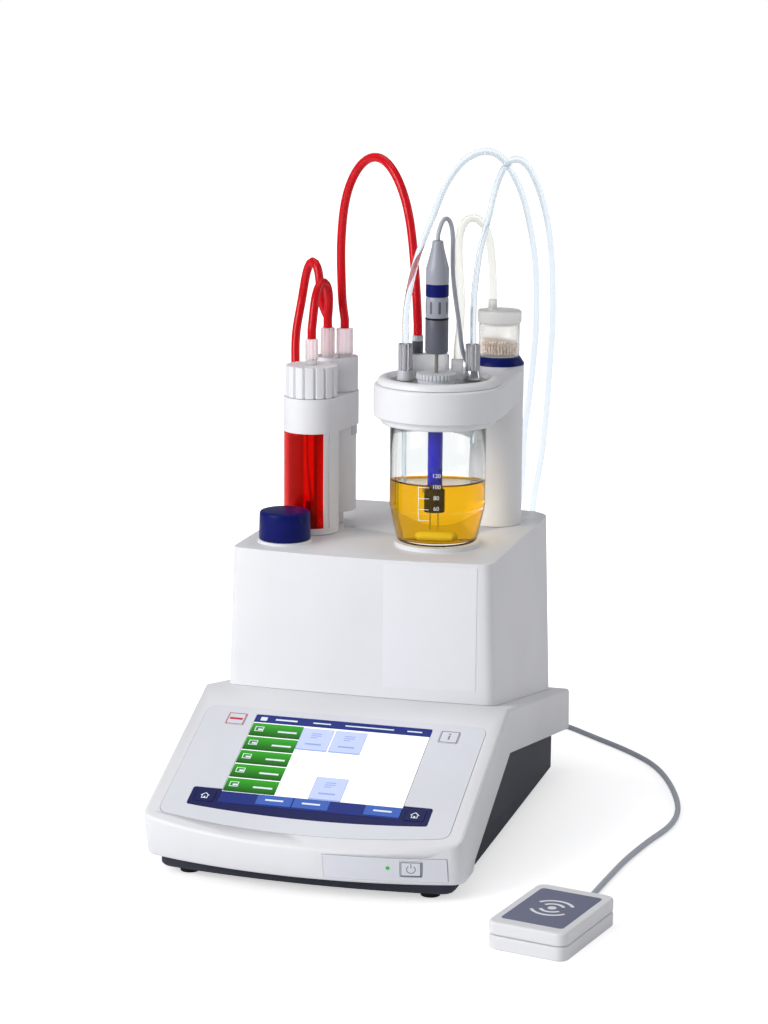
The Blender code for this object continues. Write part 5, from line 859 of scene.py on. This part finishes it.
def on_vessel(shape):
    """Wrap a flat print, x along the wall from the camera's side, round the glass."""
    for vertex in shape.verts:
        x, z, lift = vertex.co
        reach = VESSEL_RADIUS - max(0, TAPER_Z - z) * TAPER + PRINT_LIFT + lift
        angle = TO_CAMERA + x / VESSEL_RADIUS
        vertex.co = (VESSEL[0] + reach * cos(angle), VESSEL[1] + reach * sin(angle), z)
    return shape


def cut_up(width, height, x, z):
    """A thin print line, cut so that it bends with the wall."""
    shape = slab(width, height, 0, 0, 0.04, (x, z))
    bmesh.ops.subdivide_edges(shape, edges=shape.edges[:], cuts=5, use_grid_fill=True)
    return shape


def lettered(text, size, x, z):
    """A plain number of the graduation, as a thin solid."""
    curve = bpy.data.curves.new("print_" + text, "FONT")
    curve.body = text
    curve.size = size
    curve.align_x = "CENTER"
    curve.align_y = "CENTER"
    curve.extrude = 0.02
    made = linked("print_" + text, curve)
    bpy.context.view_layer.update()
    mesh = bpy.data.meshes.new_from_object(made.evaluated_get(bpy.context.evaluated_depsgraph_get()))
    bpy.data.objects.remove(made, do_unlink=True)
    shape = bmesh.new()
    shape.from_mesh(mesh)
    return moved(shape, Matrix.Translation((x, z, curve.extrude)))


prints = [cut_up(0.4, 23.6, -13.4, 222.5)]
prints += [cut_up(7.2, 0.4, -9.8, z) for z in (233.6, 226.2, 218.8, 211.2)]
prints += [lettered(number, 3.9, -1.3, z) for number, z in (("120", 241.6), ("100", 234.1), ("80", 226.7),
                                                            ("60", 219.5))]
show("vessel_graduation", on_vessel(joined(*prints)), print_white, sharp=60)

# Lid and what stands in it

show("lid_ring", lathe([
    (32.6, 300.2), (34.9, 302.9), (35.6, 303.2), (37.4, 303.2), (39.0, 302.8), (40.2, 301.9), (40.9, 300.6),
    (41.0, 298.8), (30.5, 298.8), (30.5, 279.0), (29.9, 278.8), (29.3, 279.4), (29.3, 299.4), (32.0, 299.6)],
    VESSEL, 128), white_abs, "vessel_lid")
show("lid_floor", lathe([(0, 300.5), (32.0, 300.5), (32.2, 300.3), (32.2, 299.7), (29.2, 299.5),
                         (29.2, 290.0), (0, 290.0)], VESSEL, 96), lid_grey, "vessel_lid")
show("dosing_block", moved(slab(25.0, 11.0, 5.4, 300.2, 317.0, steps=8), upright(DOSING_BLOCK, VIEW_TURN)),
     speckled_ptfe, "vessel_lid", edge=0.5)
show("vent_block", moved(slab(8.0, 8.0, 1.0, 300.2, 313.0), upright(VENT, VIEW_TURN)), speckled_ptfe,
     "vessel_lid", edge=0.5)
for name, low, high, finish in (("dosing_screw", 317.3, 325.6, dark_grey_pc),
                                ("dosing_screw_band", 325.6, 329.2, pale_pc)):
    show(name, fluted(3.7, 0.3, 14, low, high, DOSING_NUT, 0.2), finish, "dosing_nut", edge=0.2)
for name, spot, skirt_finish in (("knob_left", KNOB_LEFT, pale_pc),
                                 ("knob_right", KNOB_RIGHT, polished_steel)):
    show(name + "_barrel", fluted(4.9, 0.6, 9, 307.5, 325.2, spot, 0.1, 14), polished_steel, name, edge=0.25)
    show(name + "_skirt", lathe([(0, 300.8), (5.4, 300.8), (5.6, 301.1), (5.6, 302.4), (4.6, 307.6),
                                 (0, 307.6)], spot, 48), skirt_finish, name)
show("sensor_nut_lip", fluted(13.3, 0.7, 32, 304.2, 308.0, SENSOR, 0.0, 8), pale_pc, "sensor_nut", edge=0.3)
show("sensor_nut_skirt", lathe([(0, 300.8), (11.7, 300.8), (12.2, 301.3), (12.4, 304.3), (0, 304.3)],
                               SENSOR, 96), pale_pc, "sensor_nut")
show("sensor_nut_top", lathe([(2.2, 307.6), (2.6, 308.3), (10.8, 308.3), (11.8, 307.9)], SENSOR, 64),
     pale_pc, "sensor_nut")

# Sensor

for name, finish, profile in (
        ("sensor_cone", grey_pc, [(0, 395.1), (3.2, 395.1), (3.6, 394.6), (4.0, 391.0), (7.2, 378.4),
                                  (7.6, 377.0), (7.6, 367.4), (7.2, 366.7), (0, 366.7)]),
        ("sensor_band", navy_gloss, [(0, 366.7), (7.2, 366.7), (7.6, 366.3), (7.6, 358.9), (7.2, 358.5),
                                     (0, 358.5)]),
        ("sensor_grip", grey_pc, [(0, 358.5), (6.9, 358.5), (7.4, 357.6), (7.5, 356.6), (7.5, 345.0),
                                  (7.2, 344.6), (0, 344.6)]),
        ("sensor_ring", ring_black, [(0, 344.6), (7.5, 344.6), (7.8, 344.3), (7.8, 343.7), (7.5, 343.4),
                                     (0, 343.4)]),
        ("sensor_body", dark_grey_pc, [(0, 343.4), (7.5, 343.4), (7.6, 343.0), (7.6, 322.4), (6.9, 321.1),
                                       (0, 321.1)])):
    show(name, lathe(profile, SENSOR, 64), finish, "sensor_head")
# Painted shade: dark ovals laid just proud of the grip, standing for the shade in its recesses
ovals = []
for step in range(8):
    turn = TO_CAMERA + radians(12 + 45 * step)
    out = Vector((cos(turn), sin(turn), 0))
    ovals.append(moved(slab(1.7, 8.2, 0.8, 0, 0.06, steps=5),
                       facing(Vector((*SENSOR, 351.6)) + out * 7.47, out)))
show("sensor_grip_shade_ovals", joined(*ovals), dark_grey_pc)
show("sensor_stem", disc(1.2, 296.5, 321.2, SENSOR, 24), stem_brown, "sensor_shaft")
show("sensor_rod", lathe([(0, 296.5), (4.4, 296.5), (4.8, 296.1), (4.8, 216.3), (4.3, 215.7), (0, 215.7)],
                         SENSOR, 48), sensor_blue, "sensor_shaft")
show("sensor_tip", lathe([(0, 231.4), (5.6, 231.4), (6.0, 230.9), (6.0, 216.0), (5.6, 215.5), (0, 215.5)],
                         SENSOR, 48), ring_black, "sensor_shaft")
pin_spots = [(SENSOR[0] + x, SENSOR[1]) for x in (-2.4, 2.4)]
show("sensor_pins", joined(*[bar((*spot, 216.0), (*spot, 204.2), 0.5, 12) for spot in pin_spots]),
     polished_steel, "sensor_shaft")
for name, spot, low, radius in (("intake_pipe", KNOB_LEFT, 203.0, 1.5),
                                ("outlet_pipe", KNOB_RIGHT, 262.0, 1.5),
                                ("dosing_tip", DOSING_BLOCK, 226.0, 1.2)):
    show(name, bar((*spot, 290.2), (*spot, low), radius), clear_tubing)

# Parking cap

show("parking_cap_shell", lathe([
    (0, 210.2), (14.8, 210.2), (16.2, 209.8), (16.9, 209.0), (17.1, 208.0), (17.5, 191.3), (17.3, 190.9),
    (15.2, 190.9), (15.0, 191.2), (15.0, 206.5), (0, 206.5)], PARKING), navy_gloss, "parking_cap")

# Burette

show("burette_base", lathe([(17.8, 193.6), (18.7, 193.6), (19.0, 193.3), (19.0, 189.4), (18.7, 189.1),
                            (5.9, 189.1), (5.9, 190.3), (17.8, 190.3), (17.8, 193.6)], BURETTE), white_abs,
     "burette_frame")
BAND_LOW = 259.0
BAND_HIGH = 282.5
band = bored(belt(BURETTE, 19.0, VALVE, 15.6, BAND_LOW, BAND_HIGH), BURETTE, 5.8, BAND_LOW, BAND_HIGH)
show("burette_band", band, white_abs, "burette_frame", edge=0.8, segments=4)


def burette_wall(inner, outer, low, high, start, end, steps):
    """A curved wall round the burette, from and to degrees turned from the camera's side."""
    return ring_sector(inner, outer, low, high, TO_CAMERA + radians(start), TO_CAMERA + radians(end),
                       BURETTE, steps)


show("burette_post", joined(
    burette_wall(17.9, 18.9, 190.3, 260.0, 28, 37, 6), burette_wall(17.9, 18.2, 190.3, 260.0, 37, 43, 4),
    burette_wall(17.9, 18.9, 190.3, 260.0, 43, 150, 36)), white_abs, "burette_frame")
show("burette_sleeve", burette_wall(17.3, 18.8, 190.6, 258.7, 150.5, 387.5, 64), red_sleeve, "light_sleeve",
     sharp=50)
# Painted shade: dark strips inside the sleeve, where the barrel lies in shade
show("burette_shade_strips", joined(burette_wall(15.4, 16.0, 192.0, 257.0, -70, -18, 16),
                             burette_wall(15.4, 16.0, 192.0, 257.0, 8, 16, 4)), painted_barrel_shade)
show("burette_tube", lathe([(4.5, 290.0), (5.6, 290.0), (5.6, 189.1), (4.5, 189.1), (4.5, 290.0)],
                           BURETTE, 64), borosilicate, "burette_barrel")
show("burette_ribbed_cap", fluted(17.8, 2.2, 15, 282.8, 304.0, BURETTE, 0.72, 24, radians(-5.2)), white_abs,
     "burette_cap", edge=0.5)
for name, radius, low, high, spot, node in (
        ("burette_fitting", 4.6, 304.3, 321.5, BURETTE, "fitting_burette"),
        ("transfer_fitting", 5.0, 304.8, 326.2, TRANSFER_PORT, "fitting_transfer"),
        ("dosing_fitting", 5.8, 304.8, 325.2, DOSING_PORT, "fitting_dosing"),
        ("suction_fitting", 3.6, 304.3, 325.5, SUCTION_PORT, "valve_head")):
    show(name, fluted(radius, 0.45, 10, low + 3.0, high, spot, 0.1), milky_etfe, node, edge=0.3)
    show(name + "_neck", lathe([(0, low), (radius * 0.8, low), (radius * 0.8, low + 3.05), (0, low + 3.05)],
                               spot, 32), milky_pp, node)
show("valve_housing", lathe([(0, 304.5), (13.8, 304.5), (13.8, 306.0), (14.7, 306.0), (15.0, 305.7),
                             (15.0, 282.8), (12.2, 282.8), (12.2, 262.0), (8.3, 262.0), (8.3, 274.3),
                             (0, 274.3)], VALVE), white_abs, "valve_head")
show("valve_turret", lathe([(3.3, 258.7), (13.6, 258.7), (14.0, 258.3), (14.0, 199.2), (13.3, 198.5),
                            (5.5, 198.5), (5.5, 189.1), (0, 189.1)], VALVE), white_abs, "valve_drive")
latch_turn = TO_CAMERA + radians(50)
show("drive_latch", ring_sector(13.6, 14.5, 252.0, 258.4, latch_turn, latch_turn + radians(38), VALVE, 8),
     pale_pc)

# Drying tube

show("column_cone", lathe([(0, 301.0), (17.4, 301.0), (17.7, 301.3), (17.6, 302.0), (14.8, 306.2),
                           (14.4, 306.5), (0, 306.5)], COLUMN), navy_gloss, "column_collar")
show("drying_cup_wall", lathe([(13.0, 330.0), (14.2, 330.0), (14.2, 307.1), (13.8, 306.7), (0, 306.7),
                               (0, 307.9), (12.8, 307.9), (13.0, 308.2), (13.0, 330.0)], COLUMN, 96),
     cup_styrene, "drying_cup", sharp=50)
show("drying_cup_cap", lathe([(0, 338.6), (14.4, 338.5), (15.2, 337.7), (15.2, 330.7), (14.9, 330.3),
                              (12.7, 330.3), (12.7, 328.3), (0, 328.3)], COLUMN), milky_pp, "drying_cap")
show("drying_cup_spout", lathe([(0, 345.5), (2.8, 345.5), (3.1, 345.2), (3.1, 339.4), (3.6, 338.6),
                                (3.6, 338.0), (0, 338.0)], SPOUT), milky_pp, "drying_cap")
GRAIN_FLOOR = 309.1
GRAIN_PITCH = 2.1
random.seed(7)
grains = []
for layer in range(9):
    for ring in range(7):
        reach = 1.0 + ring * 1.82
        for step in range(max(1, round(2 * pi * reach / GRAIN_PITCH))):
            turn = step * GRAIN_PITCH / reach + layer * 0.7
            height = GRAIN_FLOOR + layer - 0.09 * reach * cos(turn - VIEW_TURN) + random.uniform(-0.35, 0.35)
            # Only the outer and upper beads can be seen
            if ring < 5 and layer < 7:
                continue
            bead = bmesh.new()
            bmesh.ops.create_icosphere(bead, subdivisions=1, radius=random.uniform(0.85, 1.15))
            grains.append(moved(bead, Matrix.Translation((
                COLUMN[0] + (reach + random.uniform(-0.15, 0.15)) * cos(turn),
                COLUMN[1] + (reach + random.uniform(-0.15, 0.15)) * sin(turn), max(GRAIN_FLOOR, height)))))
show("drying_granules", joined(*grains), granule_clay, sharp=80)

# Reader

at_reader = upright(READER, READER_TURN)
for name, low, high, edge, node in (("reader_lower", 0, 8.8, 1.2, "reader_base"),
                                    ("reader_upper", 9.1, 17.5, 1.6, "reader_top")):
    show(name, moved(slab(*READER_SIZE, low, high, steps=10), at_reader), white_abs, node, edge=edge,
         segments=4)
show("reader_label", moved(slab(40.5, 60.0, 2.5, 17.45, 17.62), at_reader), label_violet)
waves = [disc(2.7, 17.6, 17.68, sides=48)] + [
    arc_line(reach, 2.1, side + radians(33), side + radians(150), 17.6, 17.68, steps=24)
    for side in (0, pi) for reach in (7.0, 12.6)]
show("reader_waves", moved(joined(*waves), at_reader), print_white)

# Status light

COVER_HALF = 105.0
COVER_BOW = 16.0
COVER_FOOT_Z = 12.9
LAMP_X = 60.0
LAMP_Z = 25.0
strip_radius = (COVER_HALF ** 2 + COVER_BOW ** 2) / (2 * COVER_BOW)
lean = -PANEL_FOOT[1] / (PANEL_FOOT[2] - COVER_FOOT_Z)
lamp_depth = sqrt(strip_radius ** 2 - LAMP_X ** 2)
lamp_y = sqrt(strip_radius ** 2 - COVER_HALF ** 2) - lamp_depth - lean * (LAMP_Z - COVER_FOOT_Z)
on_strip = facing((LAMP_X, lamp_y, LAMP_Z), (LAMP_X / lamp_depth, -1, -lean))
show("status_lamp", moved(disc(1.3, 0, 0.35, sides=32), on_strip), led_green)

# Floor, backdrop and light

# The lamps' light isn't bent through glass, so clear pieces cast no shadow on what they hold
for clear in ("vessel_glass", "vessel_liquid", "drying_cup_wall", "burette_sleeve"):
    bpy.data.objects[clear].visible_shadow = False

floor_shape = bmesh.new()
bmesh.ops.create_grid(floor_shape, x_segments=1, y_segments=1, size=6)
floor = linked("floor", meshed("floor", floor_shape))


def direct_view(tree):
    """What is 1 to the camera and through clear pieces, and what is 1 in reflections."""
    rays = add(tree, "ShaderNodeLightPath").outputs
    seen = add(tree, "ShaderNodeMath", {"operation": "MAXIMUM"},
               {0: rays["Is Camera Ray"], 1: rays["Is Transmission Ray"]})
    return seen.outputs["Value"], rays["Is Glossy Ray"]


# Paper floor: matt white, and lit up to plain white away from the instrument, so that its shadow stays
paper, paper_tree, paper_shader = blank("white_paper_floor", "#F4F4F6", 0.9)
paper_shader.inputs["Emission Color"].default_value = (1, 1, 1, 1)
floor_place = add(paper_tree, "ShaderNodeTexCoord")
away = add(paper_tree, "ShaderNodeVectorMath", {"operation": "LENGTH"}, {0: floor_place.outputs["Object"]})
clearing = add(paper_tree, "ShaderNodeMapRange", {"From Min": 0.2, "From Max": 0.46, "To Min": 0.54},
               {"Value": away.outputs["Value"]})
glow = add(paper_tree, "ShaderNodeMath", {"operation": "MULTIPLY"},
           {0: direct_view(paper_tree)[0], 1: clearing.outputs["Result"]})
paper_tree.links.new(glow.outputs["Value"], paper_shader.inputs["Emission Strength"])
floor.data.materials.append(paper)

# Room: white where it is seen, and dimmer as light and in reflections, so that dark colours stay dark
world = bpy.data.worlds.new("soft_room")
bpy.context.scene.world = world
world.use_nodes = True
sky = world.node_tree.nodes["Background"]
direct, mirrored = direct_view(world.node_tree)
shine = add(world.node_tree, "ShaderNodeMapRange", {"To Min": 0.3, "To Max": 0.22}, {"Value": mirrored})
strength = add(world.node_tree, "ShaderNodeMapRange",
               links={"Value": direct, "To Min": shine.outputs["Result"]})
world.node_tree.links.new(strength.outputs["Result"], sky.inputs["Strength"])
sky.inputs["Color"].default_value = (1, 1, 1, 1)


def softbox(name, place, aim, size, power):
    """A large soft lamp, in metres and watts."""
    lamp = bpy.data.lights.new(name, "AREA")
    lamp.shape = "RECTANGLE"
    lamp.size = size[0]
    lamp.size_y = size[1]
    lamp.energy = power
    made = linked(name, lamp)
    made.location = place
    made.rotation_euler = (Vector(place) - Vector(aim)).to_track_quat("Z", "Y").to_euler()


AIM = (0, 0.05, 0.2)
softbox("key_light", (-1.5, -1.75, 1.2), AIM, (1.6, 1.6), 46)
softbox("top_light", (-0.2, 0.3, 2.2), AIM, (1.6, 1.6), 8)
softbox("rim_light", (1.7, 0.9, 0.9), AIM, (0.7, 1.4), 6)
